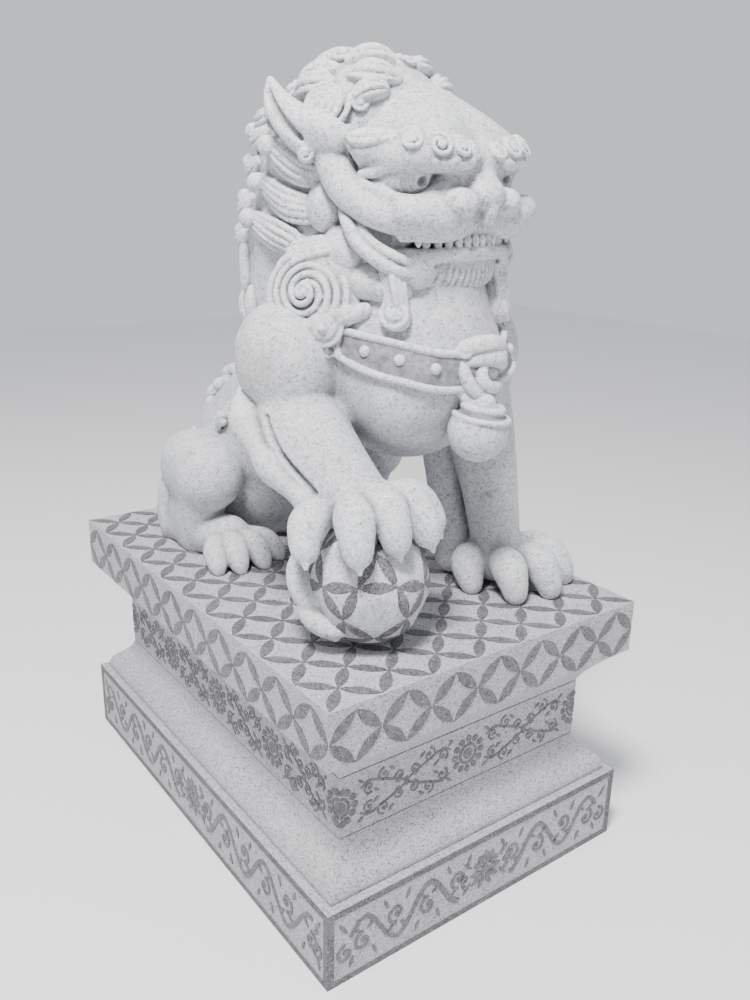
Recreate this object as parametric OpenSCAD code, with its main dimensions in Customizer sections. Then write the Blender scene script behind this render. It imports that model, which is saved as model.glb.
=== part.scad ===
/* [Plinth] */
// Width of the plinth, across the lion's shoulders
plinth_w = 850; // [780:10:920]
// Depth of the plinth, from the front face to the back face
plinth_d = 1220; // [1150:10:1300]
// Height of the ground course with the scroll panels
base_h = 185; // [160:5:210]
// Height of the ogee moulding course
moulding_h = 92; // [80:2:110]
// Height of the waist course with the rosettes
waist_h = 145; // [120:5:170]
// Height of the top slab, cove and lattice edge together
slab_h = 218; // [200:2:240]
// Height of the upright lattice edge of the top slab
slab_edge_h = 125; // [110:5:140]
// How far the waist stands back from the slab's edge
waist_inset = 80; // [60:2:95]
// Width of the plain frame round each scroll panel
frame_w = 16; // [12:1:22]
// Depth of the sandblasted ground below the honed face
relief = 2; // [1:0.5:3]

/* [Lion] */
// Height of the lion above the slab
lion_h = 1160; // [1100:10:1200]
// Diameter of the embroidered ball
ball_d = 256; // [240:4:270]
// Turn of the head towards the lion's left, in degrees
head_turn = 6; // [0:1:14]
// Nod of the head, in degrees
head_nod = 0; // [-4:1:8]

/* [Joints] */
// Thickness of each mortar bed
bed_t = 3; // [2:1:6]
// How far the mortar is raked back from the faces
bed_rake = 6; // [3:1:12]
// Diameter of the stainless steel dowels
dowel_d = 16; // [12:2:20]
// Length of each dowel between two courses
dowel_len = 120; // [100:10:130]
// Grouting clearance all round a dowel
dowel_gap = 1; // [0.5:0.5:2]

/* [Hidden] */

granite = "#b9bcc0";
honed = "#8f9196";
mortar = "#a8a49c";
steel = "#c8ccd0";

// Levels of the courses, each on its mortar bed
moulding_z = base_h + bed_t;
waist_z = base_h + moulding_h;
slab_z = waist_z + waist_h;
plinth_h = slab_z + slab_h;
cove_h = slab_h - slab_edge_h;
ledge = 20;
ogee_step = 8;

// Places on the lion are in hundredths of its height, from the middle of the slab's top:
// x to the lion's left, y to its back, z up
u = lion_h / 100;

shoulder_r = [-20, -13.5, 47];
shoulder_l = [25, -15, 46];
elbow_r = [-21, -9, 33];
elbow_l = [21, -14, 33];
wrist_r = [-17.5, -29, 26];
wrist_l = [21.5, -26, 10];
ball_r = ball_d / 2 / u;
ball_at = [-17, -35.5, ball_r];
hip_r = [-17.5, 31, 15.5];
hip_l = [19.5, 31, 15.5];
knee_r = [-22.5, 15, 18.5];
knee_l = [24.5, 15, 18.5];
eye_gap = 10.6;
head_at = [4.8, -29.5, 79];
mane_at = [1.5, 1.5];
mane_r = 18.5;
bell_at = [4.2, -39.5, 36];
bell_r = 5;

// --- shared forms ---

module blob(p, r, facets = 12) {
    translate(p * u) sphere(r * u, $fn = facets);
}

module limb(p, q, rp, rq) {
    hull() {
        blob(p, rp);
        blob(q, rq);
    }
}

// A chain of limbs through points, each [place, radius]
module chain(stops) {
    for (i = [0 : len(stops) - 2])
        limb(stops[i][0], stops[i + 1][0], stops[i][1], stops[i + 1][1]);
}

module on_slab() {
    intersection() {
        translate([0, 0, plinth_h]) children();
        translate([-plinth_w, -plinth_d, plinth_h]) cube([2 * plinth_w, 2 * plinth_d, 2 * lion_h]);
    }
}

module on_head() {
    translate(head_at * u) rotate([head_nod, 0, head_turn]) children();
}

module both_sides() {
    children();
    mirror([1, 0, 0]) children();
}

// A block whose four sides follow one profile, a list of [inset, height] from the bottom up
module mitred_block(profile, z) {
    w = plinth_w / 2;
    d = plinth_d / 2;
    translate([0, 0, z]) intersection() {
        rotate([90, 0, 0]) linear_extrude(height = plinth_d, center = true)
            polygon(concat([for (p = profile) [w - p[0], p[1]]],
                           [for (i = [len(profile) - 1 : -1 : 0]) [profile[i][0] - w, profile[i][1]]]));
        rotate([90, 0, 90]) linear_extrude(height = plinth_w, center = true)
            polygon(concat([for (p = profile) [d - p[0], p[1]]],
                           [for (i = [len(profile) - 1 : -1 : 0]) [profile[i][0] - d, profile[i][1]]]));
    }
}

// --- dowels and their holes ---

// Four dowels to a joint; the outer set and the inner set alternate so that none meet in a thin course
outer_spots = [for (x = [-1, 1], y = [-1, 1]) [x * plinth_w / 4, y * plinth_d / 3]];
inner_spots = [for (x = [-1, 1], y = [-1, 1]) [x * plinth_w / 8, y * plinth_d / 5]];
lion_spots = [[-6 * u, 29 * u], [7 * u, 29 * u], [wrist_l[0] * u, (wrist_l[1] - 4) * u]];

module dowels(spots, joint_z, r) {
    for (s = spots)
        translate([s[0], s[1], joint_z - dowel_len / 2]) cylinder(r = r, h = dowel_len, $fn = 48);
}

module dowel_holes(spots, joint_z) {
    dowels(spots, joint_z, dowel_d / 2 + dowel_gap);
}

// --- plinth ---

module panel_recess(w, h, side_at) {
    translate([-w / 2 + frame_w, -side_at - relief, frame_w])
        cube([w - 2 * frame_w, 2 * relief, h - 2 * frame_w]);
}

module base_course() {
    color(granite) difference() {
        translate([-plinth_w / 2, -plinth_d / 2, 0]) cube([plinth_w, plinth_d, base_h]);
        for (turn = [0, 180]) rotate(turn) panel_recess(plinth_w, base_h, plinth_d / 2);
        for (turn = [90, 270]) rotate(turn) panel_recess(plinth_d, base_h, plinth_w / 2);
        dowel_holes(outer_spots, base_h);
    }
}

// A plain step, then an ogee: full below, hollow under the waist
moulding_rise = moulding_h - bed_t;
moulding_profile = concat(
    [[ledge, 0], [ledge, ogee_step]],
    [for (t = [0.125 : 0.125 : 1])
        [ledge + (waist_inset - ledge) * (t - 0.1 * sin(360 * t)), ogee_step + (moulding_rise - ogee_step) * t]]);

module moulding_course() {
    color(granite) difference() {
        mitred_block(moulding_profile, moulding_z);
        dowel_holes(outer_spots, base_h);
        dowel_holes(inner_spots, waist_z);
    }
}

module waist_course() {
    color(honed) difference() {
        mitred_block([[waist_inset, 0], [waist_inset, waist_h - bed_t]], waist_z + bed_t);
        dowel_holes(inner_spots, waist_z);
        dowel_holes(outer_spots, slab_z);
    }
}

// A cove that leaves the waist upright and runs out to the lattice edge
cove_rise = cove_h - bed_t;
slab_profile = concat(
    [for (t = [0 : 0.125 : 1]) [waist_inset * (1 - pow(t, 1.35)), cove_rise * t]],
    [[0, slab_h - bed_t]]);

module top_slab() {
    color(honed) difference() {
        mitred_block(slab_profile, slab_z + bed_t);
        dowel_holes(outer_spots, slab_z);
        dowel_holes(lion_spots, plinth_h);
    }
}

module mortar_bed(z, inset, spots) {
    set_back = inset + bed_rake;
    color(mortar) difference() {
        translate([set_back - plinth_w / 2, set_back - plinth_d / 2, z])
            cube([plinth_w - 2 * set_back, plinth_d - 2 * set_back, bed_t]);
        dowel_holes(spots, z);
    }
}

module mortar_bed_lower() {
    mortar_bed(base_h, ledge, outer_spots);
}

module mortar_bed_middle() {
    mortar_bed(waist_z, waist_inset, inner_spots);
}

module mortar_bed_upper() {
    mortar_bed(slab_z, waist_inset, outer_spots);
}

module base_dowels() {
    color(steel) dowels(outer_spots, base_h, dowel_d / 2);
}

module waist_dowels() {
    color(steel) dowels(inner_spots, waist_z, dowel_d / 2);
}

module slab_dowels() {
    color(steel) dowels(outer_spots, slab_z, dowel_d / 2);
}

module lion_dowels() {
    color(steel) dowels(lion_spots, plinth_h, dowel_d / 2);
}

// --- forms of the lion; each node is its form less the forms that it butts against ---

module torso_form() {
    on_slab() {
        limb([3.5, -19, 47.5], [2, 2, 54], 17.5, 15);
        limb([2, -2, 46], [0.5, 29, 17], 15, 19.5);
        limb(shoulder_r + [3, 0, 1], shoulder_l + [-3, 0, 1], 9, 9);
    }
}

module head_form() {
    on_slab() on_head() {
        blob([0, 14.5, 2], 15.8);
        blob([0, 3, 7], 8.6);
        both_sides() {
            blob([6.4, 3.4, 5], 7);
            blob([12, 7, -5], 7);
        }
        limb([-8.5, -3, -7], [8.5, -3, -7], 5.2, 5.2);
        limb([0, 2, -2], [0, 10, -8], 8, 10);
    }
}

module brows_form() {
    on_slab() on_head() both_sides()
        chain([[[3, -4.6, 4.6], 2.4], [[9, -4.6, 5.4], 2.8], [[14, -1, 5.6], 2.6], [[17, 5, 4], 2.2]]);
}

module eyes_form() {
    on_slab() on_head() both_sides() blob([eye_gap, -0.6, 0.4], 4);
}

module nose_form() {
    on_slab() on_head() {
        limb([0, -3.5, 1], [0, -7.2, -4.2], 2.4, 3.4);
        both_sides() blob([3.2, -6.4, -5.2], 2.5);
    }
}

module jaw_form() {
    on_slab() on_head() {
        limb([-8, 1, -14.5], [8, 1, -14.5], 3.6, 3.6);
        limb([0, -3.4, -15.2], [0, 8, -15], 3.6, 5);
    }
}

module teeth_form() {
    on_slab() on_head()
        for (x = [-6 : 1.7 : 7])
            translate([x, -5.6 + 0.03 * x * x, -11.8] * u) cylinder(h = 2 * u, r = 0.8 * u, $fn = 8, center = true);
}

module ears_form() {
    on_slab() on_head() both_sides()
        limb([17.5, 12, 3.5], [20, 22, 14], 3.4, 1.2);
}

module cheek_folds_form() {
    on_slab() on_head() both_sides() {
        chain([[[16.4, 13, 2], 2.8], [[16.4, 8, -4.6], 2.9], [[14, 2, -7.6], 3], [[9, -4, -7.6], 3]]);
        chain([[[16.6, 12, -6], 1.8], [[15, 5, -12], 1.6], [[10, 0, -15], 1.6]]);
        blob([17, 15, -6.5], 2.6);
        blob([16.6, 12.5, -11.5], 3.4);
    }
}

// Curls set round the mane, which narrows and leans forward as it rises; angles from the lion's left
module mane_curls(levels, angles, curl_r) {
    on_slab()
        for (z = levels, a = angles) {
            rise = max(0, (z - 62) / 34);
            spread = mane_r * (1 - 0.25 * rise);
            translate([mane_at[0] + spread * cos(a), mane_at[1] - 9 * rise + spread * sin(a), z] * u)
                sphere(curl_r * u, $fn = 8);
        }
}

module mane_crown_form() {
    on_slab() {
        limb([-0.5, -15, 86.4], [1, -3, 81], 14.1, 15);
        for (a = [10 : 40 : 170])
            translate([12.5 * cos(a), -12 + 11 * sin(a), 91.5] * u) sphere(4.2 * u, $fn = 8);
    }
}

module mane_back_form() {
    on_slab() limb([1, -4, 77], [1.5, 3, 55], 16, 18);
    mane_curls([46 : 10 : 86], [55 : 23.3 : 126], 4.4);
}

module mane_right_form() {
    mane_curls([52 : 8.6 : 88], [150 : 24 : 200], 4.4);
}

module mane_left_form() {
    mane_curls([52 : 8.6 : 88], [-20 : 24 : 30], 4.4);
}

module shoulder_swirls_form() {
    on_slab() {
        limb([-16.5, -9, 60], [-16.5, -4, 62], 6.6, 6);
        blob([-12.5, -20, 54.5], 3.2);
        limb([21.5, -9, 60], [21.5, -4, 62], 6.6, 6);
        blob([19.5, -20, 54.5], 3.2);
    }
}

module beard_form() {
    on_slab() {
        chain([[[-2, -24, 63.5], 3.4], [[-4.5, -27.5, 59], 2.6], [[-5.8, -29.5, 56.6], 2.8]]);
        chain([[[9, -26, 62.5], 3.4], [[13.5, -29, 58], 2.6], [[15, -30, 55.6], 2.8]]);
    }
}

module collar_form(grow) {
    on_slab() intersection() {
        translate([3.5, -19, 47.5] * u) sphere((17.5 + grow) * u, $fn = 72);
        translate([3.5, -19, 50.5] * u) rotate([-14, 0, 0]) cylinder(h = 6.6 * u, r = 30 * u, center = true);
        translate([-27, -60, 30] * u) cube([60, 46, 40] * u);
    }
}

function stud_at(a) = [3.5, -19, 47.5] + 18 * [sin(a), -cos(a) * 0.97, 0.14];

module collar_studs_form() {
    on_slab() for (a = [-75 : 21 : 72]) blob(stud_at(a), 1.1, 8);
}

module tassel_form() {
    on_slab() {
        limb(bell_at + [0, 1.5, 5], bell_at + [0, 1, 11.5], 3.4, 4.2);
        blob(bell_at + [-3.8, 2, 12], 2.4);
        blob(bell_at + [3.8, 2, 12], 2.4);
    }
}

module bell_form() {
    on_slab() blob(bell_at, bell_r, 32);
}

module foreleg_right_form() {
    on_slab() {
        blob(shoulder_r, 9.6);
        chain([[shoulder_r + [0, 1, -6], 8.4], [elbow_r + [0, -6, 1], 7.6], [wrist_r, 5.6]]);
        chain([[elbow_r + [-2.4, -1, 2], 3.4], [wrist_r + [-3.8, 4, -3], 2.8]]);
    }
}

module foreleg_left_form() {
    on_slab() {
        blob(shoulder_l, 9.6);
        chain([[shoulder_l + [0, 1, -6], 8.6], [elbow_l + [1, -8, -3], 7.4], [wrist_l, 5.6]]);
        chain([[elbow_l + [-2, 2, 0], 4.6], [wrist_l + [-3.4, 6, 1], 4.4]]);
    }
}

// A paw: the pad behind, then toes that fan out, each a knuckle and a claw
module paw(pad, pad_r, toes, toe_r, spread, reach, drop) {
    blob(pad, pad_r);
    for (i = [0 : toes - 1]) {
        a = -spread + 2 * spread * i / (toes - 1);
        knuckle = pad + [sin(a) * reach, -cos(a) * reach, drop * 0.3];
        claw = pad + [sin(a) * reach * 1.45, -cos(a) * reach * 1.45, drop];
        limb(knuckle, claw, toe_r, toe_r * 0.72);
    }
}

module forepaw_right_form() {
    on_slab() paw([-17.4, -33.5, 24.2], 5, 5, 2.9, 72, 6.4, -4.4);
}

module forepaw_left_form() {
    on_slab() paw([22.5, -27.5, 4.4], 5.6, 5, 3, 66, 7, -1.8);
}

module hind_leg_form(hip, knee, side) {
    on_slab() {
        limb(hip, knee, 11.5, 7.6);
        limb(knee + [side * 1.2, 3, -4], knee + [side * 0.5, 11, -13.5], 6, 4.6);
    }
}

module hind_leg_right_form() {
    hind_leg_form(hip_r, knee_r, -1);
}

module hind_leg_left_form() {
    hind_leg_form(hip_l, knee_l, 1);
}

module hind_paw_form(knee, side) {
    on_slab() {
        limb([knee[0], 29, 4], [knee[0] - side * 1.5, 14, 4.4], 4.4, 5);
        paw([knee[0] - side * 2.5, 12.5, 4.2], 5, 4, 3, 56, 6, -1.4);
    }
}

module hind_paw_right_form() {
    hind_paw_form(knee_r, -1);
}

module hind_paw_left_form() {
    hind_paw_form(knee_l, 1);
}

module tail_form() {
    on_slab() {
        chain([[[0, 44, 8], 5], [[0, 45.5, 20], 5.4], [[0, 42, 32], 4.6]]);
        both_sides() blob([5, 44, 30], 3.8);
    }
}

module ball_form() {
    on_slab() blob(ball_at, ball_r, 32);
}

module ribbon_form() {
    on_slab() {
        limb(ball_at + [-9.6, -4, 3], ball_at + [-10, -5, -4], 2.2, 2.4);
        limb(ball_at + [-10, -5, -4], ball_at + [-8.4, -7, -8.2], 2.4, 1.8);
    }
}

// --- nodes of the lion ---

module torso() {
    color(granite) difference() {
        torso_form();
        dowel_holes([lion_spots[0], lion_spots[1]], plinth_h);
    }
}

module foreleg_left() {
    color(granite) difference() {
        foreleg_left_form();
        torso_form();
        dowel_holes([lion_spots[2]], plinth_h);
    }
}

module foreleg_right() {
    color(granite) difference() {
        foreleg_right_form();
        torso_form();
        ball_form();
    }
}

module forepaw_left() {
    color(granite) difference() {
        forepaw_left_form();
        foreleg_left_form();
    }
}

module forepaw_right() {
    color(granite) difference() {
        forepaw_right_form();
        foreleg_right_form();
        ball_form();
    }
}

module hind_leg_right() {
    color(granite) difference() {
        hind_leg_right_form();
        torso_form();
    }
}

module hind_leg_left() {
    color(granite) difference() {
        hind_leg_left_form();
        torso_form();
    }
}

module hind_paw_right() {
    color(granite) difference() {
        hind_paw_right_form();
        hind_leg_right_form();
        torso_form();
    }
}

module hind_paw_left() {
    color(granite) difference() {
        hind_paw_left_form();
        hind_leg_left_form();
        torso_form();
    }
}

module tail() {
    color(granite) difference() {
        tail_form();
        torso_form();
    }
}

module head() {
    color(granite) difference() {
        head_form();
        torso_form();
    }
}

module eyes() {
    color(granite) difference() {
        eyes_form();
        head_form();
    }
}

module brows() {
    color(granite) difference() {
        brows_form();
        head_form();
        eyes_form();
    }
}

module nose() {
    color(granite) difference() {
        nose_form();
        head_form();
        brows_form();
        eyes_form();
    }
}

module cheek_folds() {
    color(granite) difference() {
        cheek_folds_form();
        head_form();
        eyes_form();
        nose_form();
        brows_form();
        jaw_form();
    }
}

module lower_jaw() {
    color(granite) difference() {
        jaw_form();
        head_form();
        torso_form();
    }
}

module teeth() {
    color(granite) difference() {
        teeth_form();
        head_form();
        jaw_form();
    }
}

module mane_back() {
    color(granite) difference() {
        mane_back_form();
        torso_form();
        head_form();
        shoulders();
    }
}

module mane_crown() {
    color(granite) difference() {
        mane_crown_form();
        mane_back_form();
        head_form();
        brows_form();
        torso_form();
    }
}

module mane_right() {
    color(granite) difference() {
        mane_right_form();
        mane_masses();
    }
}

module mane_left() {
    color(granite) difference() {
        mane_left_form();
        mane_masses();
    }
}

module shoulder_swirls() {
    color(granite) difference() {
        shoulder_swirls_form();
        mane_masses();
        mane_right_form();
        mane_left_form();
    }
}

// The masses that the side curls of the mane lie against
module mane_masses() {
    mane_crown_form();
    mane_back_form();
    head_form();
    torso_form();
    shoulders();
}

module shoulders() {
    on_slab() {
        blob(shoulder_r, 9.6);
        blob(shoulder_l, 9.6);
    }
}

module ears() {
    color(granite) difference() {
        ears_form();
        mane_masses();
        mane_right_form();
        mane_left_form();
        brows_form();
        cheek_folds_form();
    }
}

module beard() {
    color(granite) difference() {
        beard_form();
        torso_form();
        jaw_form();
        head_form();
    }
}

module collar() {
    color(granite) difference() {
        collar_form(1.3);
        torso_form();
        shoulders();
        beard_form();
        shoulder_swirls_form();
    }
}

module collar_studs() {
    color(granite) difference() {
        collar_studs_form();
        collar_form(1.3);
        torso_form();
        shoulders();
    }
}

module chest_bell() {
    color(granite) difference() {
        bell_form();
        torso_form();
    }
}

module tassel_knot() {
    color(granite) difference() {
        tassel_form();
        bell_form();
        torso_form();
        collar_form(1.3);
        collar_studs_form();
    }
}

module embroidered_ball() {
    color(granite) ball_form();
}

module ball_ribbon() {
    color(granite) difference() {
        ribbon_form();
        ball_form();
        forepaw_right_form();
    }
}

// --- build ---
base_course();
moulding_course();
waist_course();
top_slab();
mortar_bed_lower();
mortar_bed_middle();
mortar_bed_upper();
base_dowels();
waist_dowels();
slab_dowels();
lion_dowels();
torso();
head();
brows();
eyes();
nose();
lower_jaw();
teeth();
ears();
cheek_folds();
mane_crown();
mane_back();
mane_right();
mane_left();
shoulder_swirls();
beard();
collar();
collar_studs();
tassel_knot();
chest_bell();
foreleg_right();
forepaw_right();
foreleg_left();
forepaw_left();
hind_leg_right();
hind_paw_right();
hind_leg_left();
hind_paw_left();
tail();
embroidered_ball();
ball_ribbon();
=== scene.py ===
"""Looks for the guardian lion: carved stone and the plinth's reliefs. Sizes in mm unless said."""
import math

import bpy
import numpy as np
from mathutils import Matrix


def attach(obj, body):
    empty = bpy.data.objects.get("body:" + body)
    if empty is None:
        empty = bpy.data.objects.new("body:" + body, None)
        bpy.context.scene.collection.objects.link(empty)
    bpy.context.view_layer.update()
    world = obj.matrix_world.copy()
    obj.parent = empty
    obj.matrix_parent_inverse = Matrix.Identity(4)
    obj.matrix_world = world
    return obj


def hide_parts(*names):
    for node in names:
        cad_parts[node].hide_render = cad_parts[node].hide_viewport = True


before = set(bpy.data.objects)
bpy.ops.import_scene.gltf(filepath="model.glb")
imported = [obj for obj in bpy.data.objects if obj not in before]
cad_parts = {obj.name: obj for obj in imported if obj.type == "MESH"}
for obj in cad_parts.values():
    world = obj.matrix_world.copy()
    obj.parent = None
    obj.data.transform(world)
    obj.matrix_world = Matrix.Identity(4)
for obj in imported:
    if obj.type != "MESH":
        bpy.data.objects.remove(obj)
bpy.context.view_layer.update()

import openvdb as vdb
from mathutils import Matrix, Vector

F = np.float32
GROUND = 640.0       # the slab's top, which the lion sits on
PLINTH = (850.0, 1220.0)
FAR = 80.0           # the distance that a grid holds where there is no clay
LAP = 2.4            # how far a piece runs on under its neighbour, in voxels
# the hollow or proud measure sets the stone's painted shade in hollows and painted highlight on proud parts
PAINTED_SHADE_REACH = 9.0     # how far the hollow or proud measure looks round a spot


# ---------------------------------------------------------------- clay: signed distances on a grid

def smin(a, b, k):
    """The lesser of two distances, rounded over a width k where they meet."""
    if k <= 0:
        return np.minimum(a, b)
    h = np.maximum(k - np.abs(a - b), 0) / k
    return np.minimum(a, b) - h * h * (k * 0.25)


def path(points, n):
    """A smooth run of n points through the given ones; extra columns, such as a radius, ride along."""
    p = np.array(points, float)
    if len(p) == 2:
        t = np.linspace(0, 1, n)[:, None]
        return p[0] * (1 - t) + p[1] * t
    q = np.vstack([2 * p[0] - p[1], p, 2 * p[-1] - p[-2]])
    t = np.linspace(0, len(p) - 1 - 1e-6, n)
    i = t.astype(int)
    f = (t - i)[:, None]
    a, b, c, d = q[i], q[i + 1], q[i + 2], q[i + 3]
    return 0.5 * (2 * b + (c - a) * f + (2 * a - 5 * b + 4 * c - d) * f ** 2
                  + (3 * b - a - 3 * c + d) * f ** 3)


def unit(v):
    return v / np.maximum(np.linalg.norm(v, axis=-1, keepdims=True), 1e-9)


def turned(x=0, y=0, z=0):
    """Axes turned about x, then y, then z, in degrees; the columns are the turned axes."""
    m = Matrix.Rotation(math.radians(z), 3, "Z") @ Matrix.Rotation(math.radians(y), 3, "Y") \
        @ Matrix.Rotation(math.radians(x), 3, "X")
    return np.array(m)


class Clay:
    """A block of distances to a surface, worked by adding and cutting forms."""

    reach = 0.0

    def __init__(s, lo, hi, h):
        s.h = float(h)
        s.i0 = np.floor(np.array(lo, float) / h).astype(int)
        s.n = np.ceil(np.array(hi, float) / h).astype(int) - s.i0 + 1
        s.lo = s.i0 * s.h
        s.d = np.full(s.n, FAR, F)

    def window(s, lo, hi):
        a = np.clip(np.floor((np.asarray(lo) - s.lo) / s.h).astype(int), 0, s.n)
        b = np.clip(np.ceil((np.asarray(hi) - s.lo) / s.h).astype(int) + 1, 0, s.n)
        if (b <= a).any():
            return None
        g = [(s.lo[i] + s.h * np.arange(a[i], b[i])).astype(F) for i in range(3)]
        return tuple(slice(*t) for t in zip(a, b)), g[0][:, None, None], g[1][None, :, None], g[2][None,
                None, :]

    def shape(s, lo, hi, form, k=0.0, cut=False):
        m = k + 4 * s.h + s.reach
        w = s.window(np.asarray(lo, float) - m, np.asarray(hi, float) + m)
        if w is None:
            return
        d = form(*w[1:]).astype(F)
        s.d[w[0]] = -smin(-s.d[w[0]], d, k) if cut else smin(s.d[w[0]], d, k)

    def ball(s, c, r, k=0.0, turn=None, cut=False):
        """A ball or an ellipsoid; turn gives its own axes."""
        c = np.array(c, float)
        r = np.broadcast_to(np.array(r, float), (3,))
        m = np.eye(3) if turn is None else turn

        def form(x, y, z):
            v = (x - F(c[0]), y - F(c[1]), z - F(c[2]))
            if turn is None and r[0] == r[1] == r[2]:
                return np.sqrt(v[0] ** 2 + v[1] ** 2 + v[2] ** 2) - F(r[0])
            p = [F(m[0, i]) * v[0] + F(m[1, i]) * v[1] + F(m[2, i]) * v[2] for i in range(3)]
            a = np.sqrt(sum((p[i] / F(r[i])) ** 2 for i in range(3)))
            b = np.sqrt(sum((p[i] / F(r[i] ** 2)) ** 2 for i in range(3)))
            return a * (a - 1) / np.maximum(b, F(1e-6))

        e = np.sqrt(((m * r) ** 2).sum(1))
        s.shape(c - e, c + e, form, k, cut)

    def tube(s, points, n=12, k=0.0, cut=False):
        """A round bar of changing radius along points (x, y, z, r)."""
        p = path(points, n)

        def bar(a, b):
            ab = b[:3] - a[:3]
            l2 = max(float(ab @ ab), 1e-9)

            def form(x, y, z):
                vx, vy, vz = x - F(a[0]), y - F(a[1]), z - F(a[2])
                t = np.clip((vx * F(ab[0]) + vy * F(ab[1]) + vz * F(ab[2])) / F(l2), 0, 1)
                dx, dy, dz = vx - t * F(ab[0]), vy - t * F(ab[1]), vz - t * F(ab[2])
                return np.sqrt(dx ** 2 + dy ** 2 + dz ** 2) - (F(a[3]) + t * F(b[3] - a[3]))
            return form

        if k <= 4:
            for a, b in zip(p[:-1], p[1:]):
                r = max(a[3], b[3])
                s.shape(np.minimum(a, b)[:3] - r, np.maximum(a, b)[:3] + r, bar(a, b), k, cut)
            return
        r = p[:, 3].max()

        def form(x, y, z):
            d = None
            for a, b in zip(p[:-1], p[1:]):
                e = bar(a, b)(x, y, z)
                d = e if d is None else np.minimum(d, e)
            return d
        s.shape(p[:, :3].min(0) - r, p[:, :3].max(0) + r, form, k, cut)

    def plane(s, point, normal, k=0.0):
        """Cuts away everything on the side that the normal points to."""
        q, m = np.array(point, float), unit(np.array(normal, float))
        g = [(s.lo[i] + s.h * np.arange(s.n[i])).astype(F) for i in range(3)]
        d = (g[0][:, None, None] - F(q[0])) * F(m[0]) + (g[1][None, :, None] - F(q[1])) * F(m[1]) \
            + (g[2][None, None, :] - F(q[2])) * F(m[2])
        s.d = (-smin(-s.d, -d, k)).astype(F)

    def sample(s, p):
        q = np.clip((np.asarray(p, float) - s.lo) / s.h, 0, s.n - 1.001)
        i = q.astype(int)
        f = q - i
        v = 0
        for a in (0, 1):
            for b in (0, 1):
                for c in (0, 1):
                    w = f[:, 0] if a else 1 - f[:, 0]
                    w = w * (f[:, 1] if b else 1 - f[:, 1])
                    w = w * (f[:, 2] if c else 1 - f[:, 2])
                    v = v + w * s.d[i[:, 0] + a, i[:, 1] + b, i[:, 2] + c]
        return v

    def normal(s, p):
        e = 1.5 * s.h
        return unit(np.stack([s.sample(p + e * np.eye(3)[i]) - s.sample(p - e * np.eye(3)[i])
                              for i in range(3)], 1))

    def snap(s, p, off=0.0, steps=8):
        """Moves points onto the surface, or off it by a height."""
        p = np.array(p, float)
        for _ in range(steps):
            d = s.sample(p) - off
            p = p - s.normal(p) * np.clip(d, -25, 25)[:, None] * 0.9
        return p

    def outward(s, middle, p):
        """The last place where the ray from a middle through p leaves the clay."""
        o, d = np.array(middle, float), unit(np.array(p, float) - np.array(middle, float))
        t = np.arange(20.0, 420.0, 1.5)
        q = o + t[:, None] * d
        inside = (s.sample(q) < 0) & np.all((q > s.lo) & (q < s.lo + s.h * (s.n - 1)), axis=1)
        return q[np.nonzero(inside)[0].max()] if inside.any() else np.array(p, float)

    def copy(s):
        c = Clay.__new__(Clay)
        c.h, c.i0, c.n, c.lo, c.d = s.h, s.i0, s.n, s.lo, s.d.copy()
        return c


class Parts(dict):
    """Named clays on one grid, that are carved apart from each other in the end."""

    def __init__(s, h):
        s.h = h

    def new(s, name, lo, hi):
        s[name] = Clay(lo, hi, s.h)
        return s[name]


def blank(c):
    """An empty clay on the same window."""
    out = c.copy()
    out.d[:] = FAR
    return out


def flip(s, *points, middle=0):
    """Points given to the side of a middle, put on the lion's left (s = 1) or right (s = -1)."""
    return [(middle + s * p[0], *p[1:]) for p in points]


def faced(n):
    """Axes whose third looks along n, as columns."""
    e = unit(np.cross(n, (0, 0, 1)))
    return np.stack([e, np.cross(n, e), n], 1)

def blurred(d, r):
    """A box blur of radius r voxels, by running sums."""
    for ax in range(3):
        pad = [(0, 0)] * 3
        pad[ax] = (r + 1, r)
        c = np.cumsum(np.pad(d, pad, mode="edge"), axis=ax, dtype=np.float64 if d.shape[ax] > 900 else F)
        n = d.shape[ax]
        hi = [slice(None)] * 3
        lo = [slice(None)] * 3
        hi[ax], lo[ax] = slice(2 * r + 1, 2 * r + 1 + n), slice(0, n)
        d = (c[tuple(hi)] - c[tuple(lo)]) / F(2 * r + 1)
    return d


PIECES = {}
THIN = 0.06          # how far the mesh may thin out where the surface is flat
NARROW = 20.0        # distances past this are all alike to the mesher


def cast(name, clay, cavity, material, field=None, to_row=None):
    """Makes a mesh piece from a clay's surface, with how hollow or proud each spot is as an attribute."""
    d = clay.d if field is None else field
    edge = d.copy()
    for ax in range(3):
        for e in (0, -1):
            t = [slice(None)] * 3
            t[ax] = e
            edge[tuple(t)] = np.maximum(edge[tuple(t)], F(clay.h))
    g = vdb.FloatGrid(background=FAR)
    g.copyFromArray(np.ascontiguousarray(np.clip(edge, -NARROW, NARROW)))
    v, t, q = g.convertToPolygons(isovalue=0.0, adaptivity=THIN)
    p = clay.lo + v.astype(float) * clay.h
    t, q = np.asarray(t), np.asarray(q)
    a, b, c = p[q[:, 0]], p[q[:, 1]], p[q[:, 2]]
    if np.einsum("ij,ij->i", a - p.mean(0), np.cross(b - a, c - a)).sum() < 0:
        t, q = t[:, ::-1], q[:, ::-1]
    me = mesh_of(name, p if to_row is None else to_row(p), t, q)
    me.materials.append(material)
    spots = me.attributes.new("hollow", "FLOAT", "POINT")
    spots.data.foreach_set("value", cavity.sample(p).astype(F))
    o = bpy.data.objects.new(name, me)
    bpy.context.scene.collection.objects.link(o)
    PIECES[name] = o


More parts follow.
